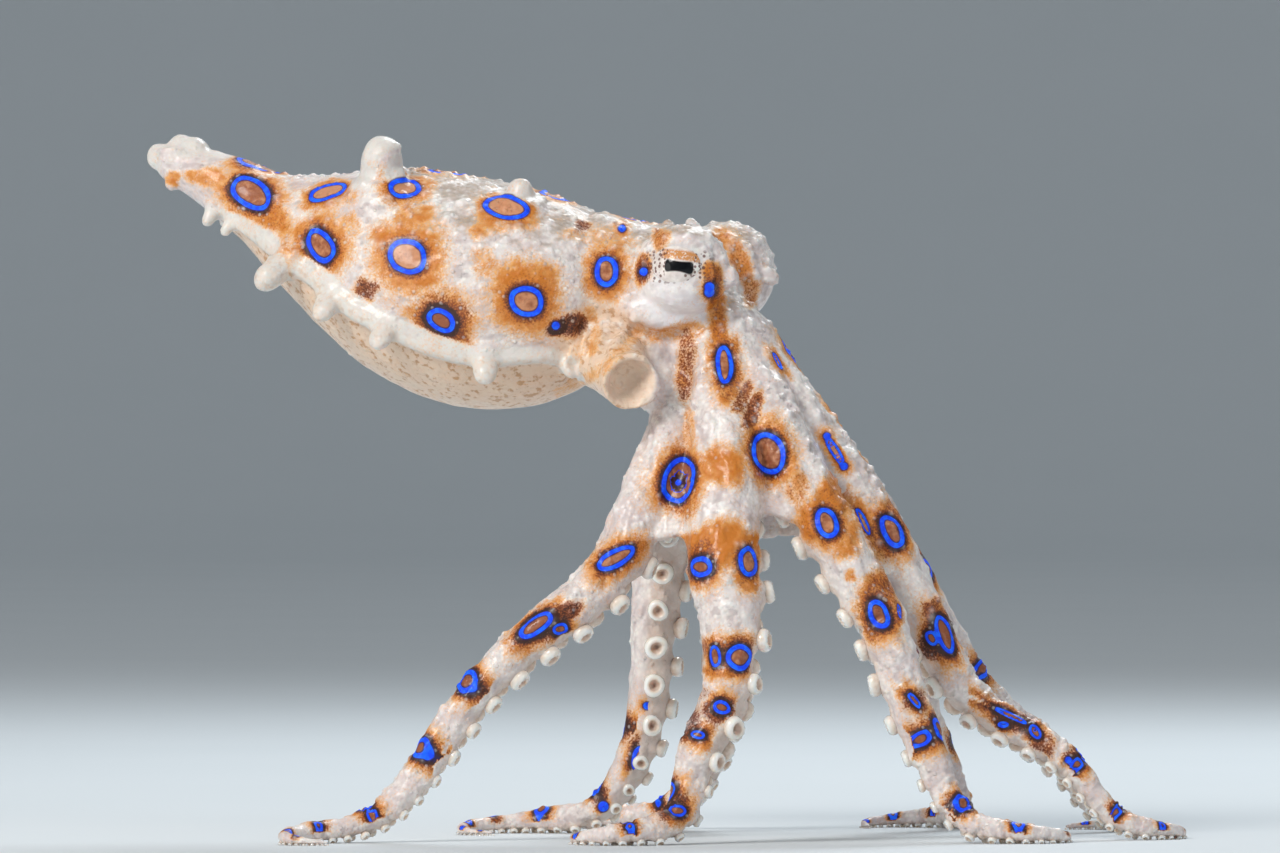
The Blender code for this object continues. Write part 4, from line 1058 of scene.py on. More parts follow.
# %% [markdown]
# The rings are the animal's name. Each is a line about half a millimetre wide that runs round a patch of
# tan or brown, with a halo of ochre that darkens towards the line. They could be painted on an image, but
# here each is a named place with its own length, breadth and tilt, and every point of the skin is
# given its distance from the nearest line. The material turns that distance into colour, so the line is
# sharp at any size. The numbers are pixels of the photograph: centre, length and breadth along
# the middle of the line, tilt in degrees down to the right, then the halo's reach in mm, and how dark it is.

# %% Rings that the photograph shows
RINGS = (
    (248.6, 191.4, 41, 25, 33, 1.5, 0.75), (320.5, 245.5, 33, 21, 55, 1.6, 0.7),
    (326.5, 191.0, 37, 13, -17, 0.9, 0.35), (404.5, 188.0, 29, 16, 0, 1.0, 0.35),
    (408.0, 257.0, 35, 30, 20, 1.9, 0.45), (442.0, 321.0, 26, 17, 35, 1.8, 1.0),
    (506.5, 207.5, 41, 21, 10, 0.8, 0.3), (527.0, 302.0, 31, 25, 20, 1.8, 0.55),
    (606.5, 272.0, 26, 19, 90, 1.2, 0.6), (724.0, 365.0, 34, 13, 86, 1.0, 0.7),
    (777.0, 361.0, 16, 3, 62, 0.5, 0.4), (767.5, 453.0, 37, 29, 70, 1.3, 0.7),
    (678.5, 480.0, 43, 27, -76, 1.3, 0.75), (834.0, 451.0, 30, 7, 58, 0.5, 0.35),
    (616.0, 557.0, 37, 14, -27, 1.1, 0.65), (700.0, 565.0, 18, 16, 0, 1.3, 0.9),
    (747.0, 560.0, 26, 15, 82, 1.0, 0.6), (825.0, 522.0, 27, 18, 70, 1.4, 0.6),
    (862.0, 521.0, 26, 5, 64, 0.6, 0.4), (891.0, 531.0, 31, 16, 62, 1.4, 0.75),
    (876.0, 612.0, 25, 16, 62, 1.4, 0.85), (537.0, 623.0, 34, 14, -35, 1.5, 0.95),
    (561.0, 627.0, 13, 9, -10, 1.0, 0.9), (714.0, 653.0, 19, 9, 85, 1.0, 0.9),
    (738.0, 654.0, 22, 21, 0, 1.0, 0.75), (943.0, 633.0, 35, 13, 72, 1.3, 1.0),
    (930.0, 637.0, 13, 9, 60, 0.9, 1.0), (720.5, 703.0, 15, 10, 20, 1.0, 1.0),
    (678.5, 709.0, 38, 4, 75, 0.7, 1.0), (697.0, 730.0, 12, 6, 10, 1.0, 1.0),
    (640.0, 761.0, 22, 13, -78, 1.1, 1.0), (666.5, 788.0, 22, 10, -60, 1.0, 1.0),
    (677.0, 804.0, 15, 9, 10, 1.0, 1.0), (911.0, 697.0, 16, 5, 50, 0.8, 0.9),
    (896.5, 609.0, 12, 2, 80, 0.4, 0.5), (1009.0, 714.0, 32, 4, 25, 1.0, 1.0),
    (1001.0, 723.0, 9, 4, 0, 0.8, 1.0), (1033.0, 730.0, 14, 8, 60, 0.9, 1.0),
)
# Dots: centre, radius, and how dark the halo is
DOTS = (
    (643.5, 272.5, 1.6, 0.6), (556.0, 326.0, 1.6, 0.8), (622.0, 228.5, 1.2, 0.35), (709.0, 293.0, 2.6, 0.6),
    (709.0, 288.0, 2.4, 0.6), (678.0, 482.0, 0.6, 0.9), (603.0, 810.0, 2.8, 0.6), (647.0, 708.0, 1.4, 0.5),
    (1066.0, 758.0, 1.2, 0.4), (826.0, 436.0, 1.0, 0.4), (843.0, 466.0, 1.4, 0.4),
)
# Patches of brown: centre, half width, half height, tilt, how ochre and how dark
PATCHES = (
    (258, 206, 44, 27, 35, 0.85, 0.35), (212, 178, 34, 14, 20, 0.75, 0.2), (286, 236, 16, 26, 10, 0.55, 0.0),
    (316, 240, 32, 36, 40, 0.85, 0.25), (326, 196, 36, 18, -10, 0.6, 0.1), (345, 228, 22, 20, 0, 0.55, 0.0),
    (405, 190, 36, 22, 0, 0.75, 0.15), (414, 218, 26, 20, 0, 0.7, 0.0), (407, 256, 44, 40, 10, 0.95, 0.15),
    (366, 290, 17, 16, 40, 0.75, 0.8), (446, 322, 42, 34, 20, 0.85, 0.75), (507, 220, 38, 16, 5, 0.7, 0.1),
    (478, 233, 12, 10, 0, 0.65, 0.2), (486, 264, 20, 20, 0, 0.62, 0.05), (528, 292, 46, 36, 10, 0.95, 0.25),
    (569, 326, 25, 15, -20, 0.85, 1.0), (604, 270, 27, 34, 10, 0.85, 0.4), (643, 270, 11, 20, 0, 0.85, 0.55),
    (583, 226, 11, 9, 0, 0.55, 0.75), (600, 238, 40, 14, 10, 0.45, 0.1), (660, 240, 11, 16, 0, 0.7, 0.4),
    (716, 284, 8, 20, 5, 0.85, 0.6), (728, 372, 20, 40, 5, 0.85, 0.45), (742, 398, 10, 22, 25, 0.7, 0.65),
    (686, 365, 14, 42, 5, 0.62, 0.6), (684, 332, 28, 12, 0, 0.6, 0.0), (655, 335, 16, 10, 0, 0.45, 0.0),
    (680, 482, 30, 42, 0, 0.85, 0.5), (688, 430, 9, 26, 5, 0.6, 0.3), (768, 452, 33, 44, 10, 0.85, 0.4),
    (752, 412, 13, 22, 20, 0.8, 0.75), (796, 488, 16, 20, 20, 0.65, 0.4), (722, 466, 34, 24, 0, 0.85, 0.05),
    (724, 544, 54, 28, 0, 1.0, 0.1), (700, 560, 24, 32, 0, 0.9, 0.6), (745, 566, 22, 30, 0, 0.9, 0.3),
    (616, 556, 36, 22, -27, 0.8, 0.35), (824, 512, 32, 46, 20, 0.95, 0.35), (844, 540, 20, 26, 30, 0.8, 0.2),
    (874, 602, 26, 42, 15, 0.9, 0.6), (848, 574, 8, 8, 0, 0.75, 0.2), (872, 580, 14, 12, 0, 0.85, 0.1),
    (890, 526, 28, 44, 25, 0.85, 0.55), (548, 622, 42, 22, -25, 0.8, 0.95), (728, 646, 36, 22, 0, 0.9, 0.55),
    (728, 668, 32, 10, 0, 0.8, 0.35), (936, 636, 28, 36, 30, 0.8, 1.0), (930, 608, 14, 16, 20, 0.75, 0.7),
    (720, 706, 26, 18, 0, 0.7, 0.9), (684, 722, 22, 26, 70, 0.7, 0.9), (640, 758, 20, 28, 0, 0.7, 0.85),
    (670, 794, 26, 26, 0, 0.7, 0.95), (912, 698, 18, 16, 40, 0.7, 0.8), (1010, 718, 36, 15, 25, 0.7, 1.0),
    (1040, 742, 22, 16, 50, 0.6, 0.7), (726, 240, 20, 16, 25, 0.75, 0.3), (741, 264, 15, 26, -20, 0.8, 0.35),
    (751, 292, 11, 18, 0, 0.7, 0.45), (168, 176, 9, 10, 0, 0.85, 0.0), (700, 690, 12, 10, 0, 0.4, 0.5),
    (655, 612, 5, 46, 0, 0.45, 0.75),
)
# Brown streaks: pixels along each, half width, how ochre and how dark
STREAKS = (
    (((586, 308), (583, 330), (578, 358), (572, 384)), 8, 0.30, 0.0),
    (((711, 272), (715, 292), (717, 315), (720, 338), (726, 362)), 12, 0.95, 0.45),
    (((560, 392), (600, 372), (626, 346), (640, 330)), 8, 0.45, 0.05),
    (((590, 310), (596, 330), (592, 352)), 7, 0.50, 0.15),
)
print(len(RINGS), "rings,", len(DOTS), "dots,", len(PATCHES), "patches")

# %% [markdown]
# A marking is found on the skin by looking along the line of sight at its pixel. Only skin that faces the
# viewer and lies near that depth takes it, so that an arm behind stays clear of what is on the one in front.
# A ring's outline is an oval that wobbles a little, for no two real ones are alike.

# %% Paint the side that is seen
RING_HALF_LINE = 0.2
NO_RING = 9.0            # the distance of a point that no ring's line is near
FINE_LINES_BELOW = 0.62  # half a ring's breadth in mm
FINEST = 2.1
FACING = 0.25
MOST_STRETCH = 0.16      # limits how much a slanting surface thins a line, as seen
OCHRE_HALO, UMBER_HALO = 1.15, 0.66          # how wide each fades, in the ring's own reach
HALO_REACH = 2.2         # beyond this many reaches nothing is painted
DOT_HALO = 0.6
wobble = random.Random("rings")
points, normals = surface.points, surface.normals
ring = np.full(len(points), NO_RING)
ochre, umber = np.zeros(len(points)), np.zeros(len(points))
on_skin = sight_finder(skin)


def within(reach, centre):
    """Indices of the skin's points that lie no further than reach from a place."""
    return np.flatnonzero(np.sum((points - centre) ** 2, axis=1) < reach ** 2)


def seen_near(px, py, reach, depth=3.5):
    """The skin round a pixel: indices, and how far right and down each lies in pixels."""
    x, z = from_pixel(px, py)
    hit = on_skin(x, z) or on_skin(x + 0.5, z) or on_skin(x - 0.5, z) or on_skin(x, z - 0.5)
    if not hit:
        return np.array([], int), np.array([]), np.array([])
    apart = points - (x, hit[0][1], z)
    near = np.flatnonzero((abs(apart[:, 0]) < reach * PIXEL) & (abs(apart[:, 2]) < reach * PIXEL)
                          & (abs(apart[:, 1]) < depth) & (normals[:, 1] < FACING))
    return near, apart[near, 0] / PIXEL, -apart[near, 2] / PIXEL


def oval_distance(right, down, half_long, half_short, tilt, waver=0.028):
    """Distance from an oval's outline, less than 0 inside it, in the units of its sizes, and the way out."""
    c, s = math.cos(math.radians(tilt)), math.sin(math.radians(tilt))
    u, v = right * c + down * s, down * c - right * s
    turn = np.arctan2(v / half_short, u / half_long)
    size = 1.0
    for lobes in (2, 3, 4):
        size = size + wobble.uniform(0.3, 1.0) * waver * np.sin(lobes * turn + wobble.uniform(0, 6.3))
    k = np.hypot(u / half_long, v / half_short) / size
    across, along = u / half_long ** 2, v / half_short ** 2
    slope = np.maximum(np.hypot(across, along), 1e-6)
    away = np.stack((across * c - along * s, across * s + along * c), axis=1) / slope[:, None]
    return (k - 1) * k / slope * size, away


def paint_ring(near, distance, reach, dark, half_short=1.0):
    """Lets a ring's line and halo into the fields. Distance is in mm. A small ring has a finer line."""
    fine = min(max(FINE_LINES_BELOW / half_short, 1.0), FINEST) * distance
    ring[near] = np.where(abs(fine) < abs(ring[near]), fine, ring[near])
    out = np.maximum(distance, 0)
    ochre[near] = np.maximum(ochre[near], np.exp(-(out / (OCHRE_HALO * reach)) ** 2))
    umber[near] = np.maximum(umber[near], dark * np.exp(-(out / (UMBER_HALO * reach)) ** 2))


def paint_patch(near, distance, warm, dark):
    """Distance is 0 at a patch's middle and 1 at its edge."""
    falloff = step(distance, 1.25, 0.35)
    ochre[near] = np.maximum(ochre[near], warm * falloff)
    umber[near] = np.maximum(umber[near], dark * falloff ** 1.5)


for px, py, wide, high, tilt, warm, dark in PATCHES:
    near, right, down = seen_near(px, py, 1.3 * max(wide, high), depth=5.0)
    paint_patch(near, 1 + oval_distance(right, down, wide, high, tilt, 0.12)[0] / min(wide, high), warm, dark)
for pixels, half_width, warm, dark in STREAKS:
    line = smooth_route([(*pixel, 0.0, 0.0) for pixel in pixels], 4.0)
    for px, py in line[:, :2]:
        near, right, down = seen_near(px, py, 1.3 * half_width, depth=2.0)
        paint_patch(near, np.hypot(right, down) / half_width, warm, dark)
for px, py, long, short, tilt, reach, dark in RINGS:
    near, right, down = seen_near(px, py, long / 2 + HALO_REACH * reach / PIXEL)
    distance, away = oval_distance(right, down, long / 2, short / 2, tilt)
    leaning = normals[near, 0] * away[:, 0] - normals[near, 2] * away[:, 1]
    distance *= PIXEL / np.sqrt(np.maximum(1 - leaning ** 2, MOST_STRETCH))
    paint_ring(near, distance, reach, dark, short / 2 * PIXEL)
for px, py, radius, dark in DOTS:
    near, right, down = seen_near(px, py, radius + 14)
    paint_ring(near, (np.hypot(right, down) - radius) * PIXEL, DOT_HALO, dark)
print("ring lines cover", int((abs(ring) < RING_HALF_LINE).sum()), "points")

# %% [markdown]
# The side that the photograph hides is painted from the species. The far flank and the far side of the
# head and crown repeat the near ones, mirrored, with their places shifted a little so that the two
# sides differ as real ones do. On the rest of the arms, rings stand in pairs on the outer side at even
# spaces, each pair in a dark band, and shrink with the arm.

# %% Paint the hidden sides
HEAD_MIDDLE = (np.array(EYES["right"][0]) + np.array(EYES["left"][0])) / 2
HEAD_ACROSS = unit((np.array(EYES["left"][0]) - np.array(EYES["right"][0])) * (1, 1, 0))
CROWN_MIDDLE, CROWN_ACROSS = np.array((11.6, 0.0, 36.0)), np.array((0.0, 1.0, 0.0))
NECK_X, HEAD_FOOT, CROWN_FOOT = 0.5, 40.5, 19.0
FRONT_STRIP = 2.2          # half the strip down the front of the crown that has rings of its own
ahead_of_neck, on_head = points[:, 0] >= NECK_X, points[:, 2] > HEAD_FOOT
MIRRORS = (      # a point of the plane, the way across it, a strip left out along it, and where it holds
    (TAIL, ACROSS, 0.0, ~ahead_of_neck),
    (HEAD_MIDDLE, HEAD_ACROSS, 0.0, ahead_of_neck & on_head),
    (CROWN_MIDDLE, CROWN_ACROSS, FRONT_STRIP, ahead_of_neck & ~on_head & (points[:, 2] > CROWN_FOOT)),
)
SHIFTS, SHIFT_GRAIN = 1.1, 9.0
SLANTING = 0.1           # skin more slanting than this is left out, for markings are smeared there
FAR_FACING = 0.05
RING_CLEAR = 2.0         # no mirrored ring comes nearer than this to one that is seen
for middle, across, strip, part in MIRRORS:
    side = (points - middle) @ across
    source = np.flatnonzero(part & (side < -strip) & (normals[:, 1] < SLANTING))
    target = np.flatnonzero(part & (side > strip) & (normals[:, 1] > FAR_FACING) & (ring > RING_CLEAR))
    there = points[target] - 2 * side[target, None] * across
    there += SHIFTS * np.stack([cloud(points[target], SHIFT_GRAIN, seed) for seed in (21, 22, 23)], axis=1)
    match, gap = nearest(points[source], there)
    near_source = step(gap, 1.1, 0.5)
    ring[target] = np.where(near_source > 0.3, ring[source[match]], NO_RING)
    for field in (ochre, umber):
        field[target] = field[source[match]] * near_source

# Rings where no line of sight reaches: place, half length and half breadth in mm, tilt, halo and darkness
CREST_RINGS = (
    ((-27.6, 9.9, 53.9), 1.7, 1.15, 10, 1.0, 0.5), ((3.2, 2.6, 49.4), 1.5, 1.1, 40, 1.0, 0.4),
    ((14.6, 1.0, 38.6), 1.5, 1.1, 80, 1.1, 0.5), ((17.4, 1.2, 33.6), 1.6, 1.2, 10, 1.1, 0.5),
    ((19.4, 2.6, 30.2), 1.4, 1.1, 60, 1.1, 0.6), ((21.4, -0.6, 27.2), 1.3, 1.0, 120, 1.0, 0.5),
    ((-12.0, 5.6, 53.4), 1.7, 1.3, 20, 1.2, 0.5), ((-3.6, 3.2, 51.4), 1.3, 1.0, 60, 1.0, 0.4),
)
CLEAR_ROUND = 0.9        # a mirrored line this near to one of these rings makes way for it
ROUND_THE_BEND = -0.3    # skin that turns further away than this doesn't take the ring
surface_tree = BVHTree.FromObject(skin, bpy.context.evaluated_depsgraph_get())
for place, half_long, half_short, tilt, reach, dark in CREST_RINGS:
    found, normal, _, _ = surface_tree.find_nearest(Vector((np.array(place) + SHIFT) * MM))
    centre, out = np.array(found) / MM - SHIFT, unit(np.array(normal))
    level = unit(np.cross(out, (0.0, 1.0, 0.0)))
    near = within(half_long + HALO_REACH * reach, centre)
    near = near[normals[near] @ out > ROUND_THE_BEND]
    apart = points[near] - centre
    distance, _ = oval_distance(apart @ level, apart @ np.cross(out, level), half_long, half_short, tilt)
    ring[near[distance < CLEAR_ROUND]] = NO_RING
    paint_ring(near, distance, reach, dark, half_short)

BAND_SPACE = 4.6          # of the arm's radius, from one pair of rings to the next
ARM_RINGS_BELOW = {"right_4": 12.0, "right_3": 1.0, "right_2": 8.5, "right_1": 6.0, "left_4": 8.5}
LEFT_RINGS_BELOW = 21.0
ONE_RING_BELOW = 0.7      # of the arm's radius in mm
LARGE_RING, SMALL_RING, RINGS_APART = 0.45, 0.27, 1.3          # of the arm's radius
RING_LENGTH = 1.15
for name in ARM_RING:
    route, unders, ways = routes[name], undersides[name], tangents(routes[name])
    draw = random.Random("bands " + name)
    at = int(np.argmax(route[:, 2] < ARM_RINGS_BELOW.get(name, LEFT_RINGS_BELOW)))
    while at < len(route) - 12:
        radius = route[at, 3]
        out, way = -unders[at], ways[at]
        aside = np.cross(way, out)
        lean = draw.choice((-1, 1)) * draw.uniform(0.15, 0.5)
        other = lean - math.copysign(RINGS_APART, lean)
        pair = [(lean, LARGE_RING, 0.0), (other, SMALL_RING, draw.uniform(-0.3, 0.3))]
        for tilt, size, ahead in pair if radius > ONE_RING_BELOW else pair[:1]:
            round_arm = out * math.cos(tilt) + aside * math.sin(tilt)
            centre = route[at, :3] + round_arm * radius + way * ahead * radius
            near = within(2.6 * radius, centre)
            near = near[normals[near] @ out > -0.1]
            apart = points[near] - centre
            half = size * radius
            distance, _ = oval_distance(apart @ way, apart @ aside, half * RING_LENGTH, half, 0.0)
            paint_ring(near, distance, 0.75 * radius, 0.95, half)
        near = within(2.4 * radius, route[at, :3])
        apart = points[near] - route[at, :3]
        band = np.exp(-(apart @ way / (0.95 * radius)) ** 2) * step(apart @ out / radius, -0.35, 0.35)
        ochre[near] = np.maximum(ochre[near], 0.9 * band)
        umber[near] = np.maximum(umber[near], 0.8 * band)
        at += round(BAND_SPACE * max(radius, 0.45) * draw.uniform(0.85, 1.15) / ARM_STEP)
print("ring lines cover", int((abs(ring) < RING_HALF_LINE).sum()), "points in all")

# %% [markdown]
# Besides the rings, the skin's ground changes from place to place: grey on the back, peach and gold under the
# ridge, white on ridge and papillae, peach on the funnel, and bare and pale on the suckers' side.

# %% Grounds
ridge_x, ridge_z = np.array(RIDGE).T
under_ridge = np.interp(points[:, 0], ridge_x, ridge_z) - points[:, 2]
belly = step(under_ridge, -0.2, 0.5) * step(points[:, 2], 30.0, 33.0)
belly *= step(points[:, 0], 1.0, -2.5) * step(points[:, 0], -31.5, -29.5)
neck = near_lines([smooth_route(FUNNEL, 0.4)], 1.25, 1.9) * step(points[:, 0], 4.6, 3.2)
belly = np.maximum(belly, neck)
back = step(normals[:, 2], 0.25, 0.8) * step(points[:, 0], -25.0, -12.0) * step(points[:, 2], 40.0, 43.0)
front = step(normals[:, 0], 0.45, 0.9) * step(points[:, 0], 8.0, 14.0) * step(points[:, 2], 22, 27)
back = np.maximum(back, 0.6 * front)
bore_axis = (points - funnel_end) @ funnel_way[0]
bore_radius = np.linalg.norm(points - funnel_end - bore_axis[:, None] * funnel_way[0], axis=1)
bore = step(bore_radius, FUNNEL_BORE + 0.45, FUNNEL_BORE + 0.1)
bore *= step(bore_axis, -FUNNEL_BORE_DEPTH - 1, -1.2)
bore *= step(bore_axis, 2.0, 0.6)
under_crown = step(points[:, 2], 36, 34) * step(points[:, 0], 2.0, 4.0)
inner = step(arm_under, 0.35, 0.75) * np.maximum(on_arm, under_crown)
ring[inner > 0.95] = NO_RING
lid, calm = np.zeros(len(points)), np.zeros(len(points))
for centre, look in EYES.values():
    ahead, level, upright = frame_on(look)
    apart = points - np.array(centre)
    out = np.hypot(apart @ level / EYE_OPENING[0], apart @ upright / EYE_OPENING[1])
    calm = np.maximum(calm, np.exp(-(np.linalg.norm(apart - CHEEK_DROP, axis=1) / 2.9) ** 4))
    beside_pupil = step(out, 1.5, 1.1) * step(abs(apart @ upright + 0.2), 1.6, 1.1)
    lid = np.maximum(lid, beside_pupil * (apart @ ahead > 0.5) * (np.linalg.norm(apart, axis=1) < 4.2))
surface.carry(ring=ring, pale=pale, belly=belly, back=back, bore=bore, inner=inner, lid=lid, bead=bead,
              ochre=ochre * (1 - 0.85 * pale) * (1 - inner), umber=umber * (1 - 0.9 * pale) * (1 - inner),
              calm=calm, streak=streak)
print("grounds: belly", round(float(belly.mean()), 2), "back", round(float(back.mean()), 2), "of the skin")

# %% [markdown]
# The skin's finish reads those values. Its ground is white, with painted shade of lilac grey in the creases
# between fine granules and in the low lines of the streaks. The brown comes from thousands of small colour
# sacs, so ochre and umber are broken up into grains before they are laid over the ground. The rings are the
# only sharp thing: a bright blue line with a navy edge, tan inside it, and the blue line has a painted glow.
# Wet skin has a thin clear coat and lets a little light through.

# %% Finish of the skin
FRECKLE_BROWN = tint(104, 62, 52)
# The emission strength set here serves the painted glow of the ring lines.
flesh = Finish("octopus_skin", Coat_Roughness=0.14, Subsurface_Weight=0.22, Subsurface_Scale=0.7 * MM,
               Subsurface_Radius=(1.0, 0.55, 0.40), IOR=1.4, Emission_Strength=0.2)
sac = flesh.noise(0.16, 1.0)
blotch = flesh.noise(2.2, 3.0)
granule_crease = flesh.cells(0.42).above(0.15, 0.75)
streak = flesh.field("streak")
speck = flesh.noise(0.55, 3.0)
grey = (flesh.field("back") + (blotch - 0.5) * 1.6 + (speck - 0.5) * 1.4).above(0.25, 1.35)
peach = flesh.mix(speck.above(0.52, 0.66), tint(232, 202, 174), tint(196, 146, 98))
ground = flesh.layers(
    tint(242, 235, 229),
    (blotch.above(0.38, 0.62), tint(226, 212, 209)),
    # Painted shade: a lilac grey laid in the creases between granules, and a greyer one in the streaks' low
    # lines.
    (granule_crease * 0.34, tint(196, 182, 182)),
    (streak.above(-0.05, -0.55) * 0.6, tint(186, 170, 168)),
    (grey * 0.8, tint(164, 148, 130)),
    (flesh.field("belly") * blotch.above(0.10, 0.40) * 0.9, peach),
    (flesh.field("calm") * 0.7, tint(243, 240, 242)),
    (flesh.field("inner") * 0.85, tint(226, 208, 196)),
    (flesh.field("bead") * 0.7, tint(246, 243, 240)),
    # The ridge's white thins in the creases, so the painted crease shade shows there too.
    (flesh.field("pale") * (1.15 - granule_crease * 0.5), tint(222, 217, 210)),
    (flesh.field("bore") * 0.9, tint(236, 214, 194)),
)

ochre_field, umber_field = flesh.field("ochre"), flesh.field("umber")
wart = flesh.cells(0.75).above(0.26, 0.12)
warm = (ochre_field + (sac - 0.5) * 0.9 + (blotch - 0.5) * 0.5 + streak * 0.22).above(0.02, 0.74)
warm = warm * (1.0 - wart * 0.4)
beside = flesh.field("ring").above(0.9, 0.15) * (0.10 + umber_field * 0.6)
dark = (umber_field * 0.8 + beside + (sac - 0.5) * 0.9 + (speck - 0.5) * 0.3).above(0.12, 1.05)
fullness = ochre_field + (speck - 0.5) * 0.8 + streak * 0.25
brown = flesh.layers(
    tint(236, 176, 106),
    (fullness.above(0.25, 1.0), tint(204, 120, 34)),
    (dark.above(0.0, 0.5), tint(146, 74, 28)),
    (dark.above(0.4, 1.0), tint(62, 28, 18)),
)
freckle = flesh.cells(0.36, randomness=0.6).above(0.48, 0.30) * flesh.field("lid")

ring_at = flesh.field("ring") + (flesh.noise(0.7, 2.0) - 0.5) * 0.12
inside = ring_at.above(-0.16, -0.34)
tan = flesh.mix((umber_field + (speck - 0.5) * 1.2).above(0.35, 0.9), tint(204, 142, 102), tint(150, 84, 50))
edge = abs(ring_at).above(0.36, 0.20)
line = abs(ring_at).above(0.23, 0.15)
blue = flesh.mix(flesh.noise(0.5, 2.0).above(0.42, 0.62), tint(0, 66, 236), tint(12, 100, 255))
skin_colour = flesh.layers(
    ground,
    (warm * (1.0 - flesh.field("bead") * 0.35), brown),
    (freckle * 0.85, FRECKLE_BROWN),
    (inside, tan),
    (edge * 0.92, tint(22, 24, 92)),
    (line, blue),
)
# Painted glow: the blue ring line gives off a little light of its own blue, though it is no lamp.
painted_glow = flesh.mix(line, tint(0, 0, 0), blue)
rough = 1.0 - flesh.field("calm") * 0.7 - flesh.field("pale") * 0.5
relief = flesh.bump((granule_crease * -0.4 + speck * 0.6 + streak * 0.5 + wart * 0.7) * rough, 0.09)
relief = flesh.bump(flesh.noise(0.12, 2.0), 0.02, under=relief)
skin.data.materials.clear()
skin.data.materials.append(flesh.finish(
    Base_Color=skin_colour, Normal=relief, Emission_Color=painted_glow, Coat_Weight=0.32 - line * 0.2,
    Roughness=0.38 + granule_crease * 0.16 + line * 0.1))
skin.data.shade_smooth()
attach(skin, "root")
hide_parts(*[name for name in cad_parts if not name.startswith("eye")])
print("skin of", len(flesh.material.node_tree.nodes), "nodes")

# %% [markdown]
# Suckers stand in two rows on each arm's underside and alternate. Each is a soft cup on a short stalk:
# a swollen wall, a rolled rim with fine grooves, and a deep round hollow. One profile turned round its
# axis gives one sucker, and numpy lays out all those of an arm at once, shrinking towards the tip.

# %% Suckers
SUCKER_PROFILE = np.array((       # radius and height, in rims
    (0.85, -0.75), (0.66, -0.15), (0.64, 0.08), (0.82, 0.26), (1.01, 0.48), (1.11, 0.76), (1.06, 1.05),
    (0.90, 1.27), (0.70, 1.37), (0.55, 1.32), (0.47, 1.16), (0.40, 1.02), (0.28, 0.96), (0.20, 0.72),
    (0.09, 0.60),
))
SUCKER_SIDES = 20
RIM_STATION, RIM_SPREAD = 7.0, 1.3          # where along the profile the rim is, and over how many points
CUP_STATIONS = (8, 12)
stations = np.arange(len(SUCKER_PROFILE))
rim_field = np.exp(-((stations - RIM_STATION) / RIM_SPREAD) ** 2)
# Painted shade: how much darker each ring of the profile is drawn, full in the cup's hollow.
cup_shade_field = step(stations, *CUP_STATIONS)

cup = Finish("sucker_skin", Coat_Roughness=0.06, Coat_Weight=0.9, Subsurface_Weight=0.75,
             Subsurface_Scale=0.9 * MM, Subsurface_Radius=(1.0, 0.8, 0.65), IOR=1.38, Roughness=0.25)
cup_colour = cup.layers(
    tint(236, 220, 208),
    (cup.noise(0.5, 2.0).above(0.35, 0.65), tint(220, 198, 180)),
    (cup.field("rim"), tint(250, 247, 240)),
    # Painted shade darkens the hollow of each cup.
    (cup.field("cup") * 0.6, tint(204, 178, 158)),
)
cup.finish(Base_Color=cup_colour, Normal=cup.bump(cup.noise(0.12, 2.0), 0.015))


def sucker_mesh(name):
    """All the suckers of one arm as one mesh."""
    suckers = sucker_rows[name]
    turn = np.linspace(0, 2 * math.pi, SUCKER_SIDES, endpoint=False)
    grid, rings = [], len(SUCKER_PROFILE)
    for centre, axis, rim, phase in suckers:
        ahead, level, upright = frame_on(axis)
        out = np.outer(np.cos(turn), level) + np.outer(np.sin(turn), upright)
        for (wide, high), lip in zip(SUCKER_PROFILE, rim_field):
            waver = 1 + 0.05 * np.sin(2 * turn + phase) + 0.03 * np.sin(3 * turn - phase)
            groove = high + 0.05 * lip * np.cos(turn * SUCKER_SIDES / 2)
            grid.append(centre + out * (wide * waver * rim)[:, None] + np.outer(groove * rim, ahead))
    points = np.vstack(grid)
    faces = []
    for s in range(len(suckers)):
        start = s * rings * SUCKER_SIDES
        for r in range(rings - 1):
            low = start + r * SUCKER_SIDES
            for k in range(SUCKER_SIDES):
                n = (k + 1) % SUCKER_SIDES
                faces.append((low + k, low + n, low + SUCKER_SIDES + n, low + SUCKER_SIDES + k))
        faces.append([start + k for k in range(SUCKER_SIDES)][::-1])
        faces.append([start + (rings - 1) * SUCKER_SIDES + k for k in range(SUCKER_SIDES)])
    mesh = bpy.data.meshes.new("suckers_" + name)
    mesh.from_pydata((points + SHIFT) * MM, [], faces)
    piece = bpy.data.objects.new("suckers_" + name, mesh)
    bpy.context.scene.collection.objects.link(piece)
    Surface(piece).carry(rim=np.tile(np.repeat(rim_field, SUCKER_SIDES), len(suckers)),
                         cup=np.tile(np.repeat(cup_shade_field, SUCKER_SIDES), len(suckers)))
    mesh.shade_smooth()
    mesh.materials.append(cup.material)
    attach(piece, "root")
    return len(suckers)


counts = [sucker_mesh(name) for name in ARM_RING]
print(sum(counts), "suckers:", counts)

# %% [markdown]
# An octopus has one of the most striking eyes in the sea: a pale iris freckled with brown, and a pupil that
# is a dark level bar with round, slightly wider ends. It stays level however the animal tilts.
# The ball carries how far each of its points lies from the pupil's middle, and the material draws pupil
# and iris from those two numbers. Its clear coat is the wet cornea.

# %% Eyes
PUPIL_MIDDLE = (0.40, -0.26)
PUPIL_HALF = (1.12, 0.37)
PUPIL_FLARE = 0.19
PUPIL_TILT = math.radians(-6)
EYE_GRAIN = 0.35
BALL_SIDES, BALL_RINGS = 96, 72
BALL_FIT = 0.995
POLE = 0.012          # radians that the ball's first ring lies from its pole

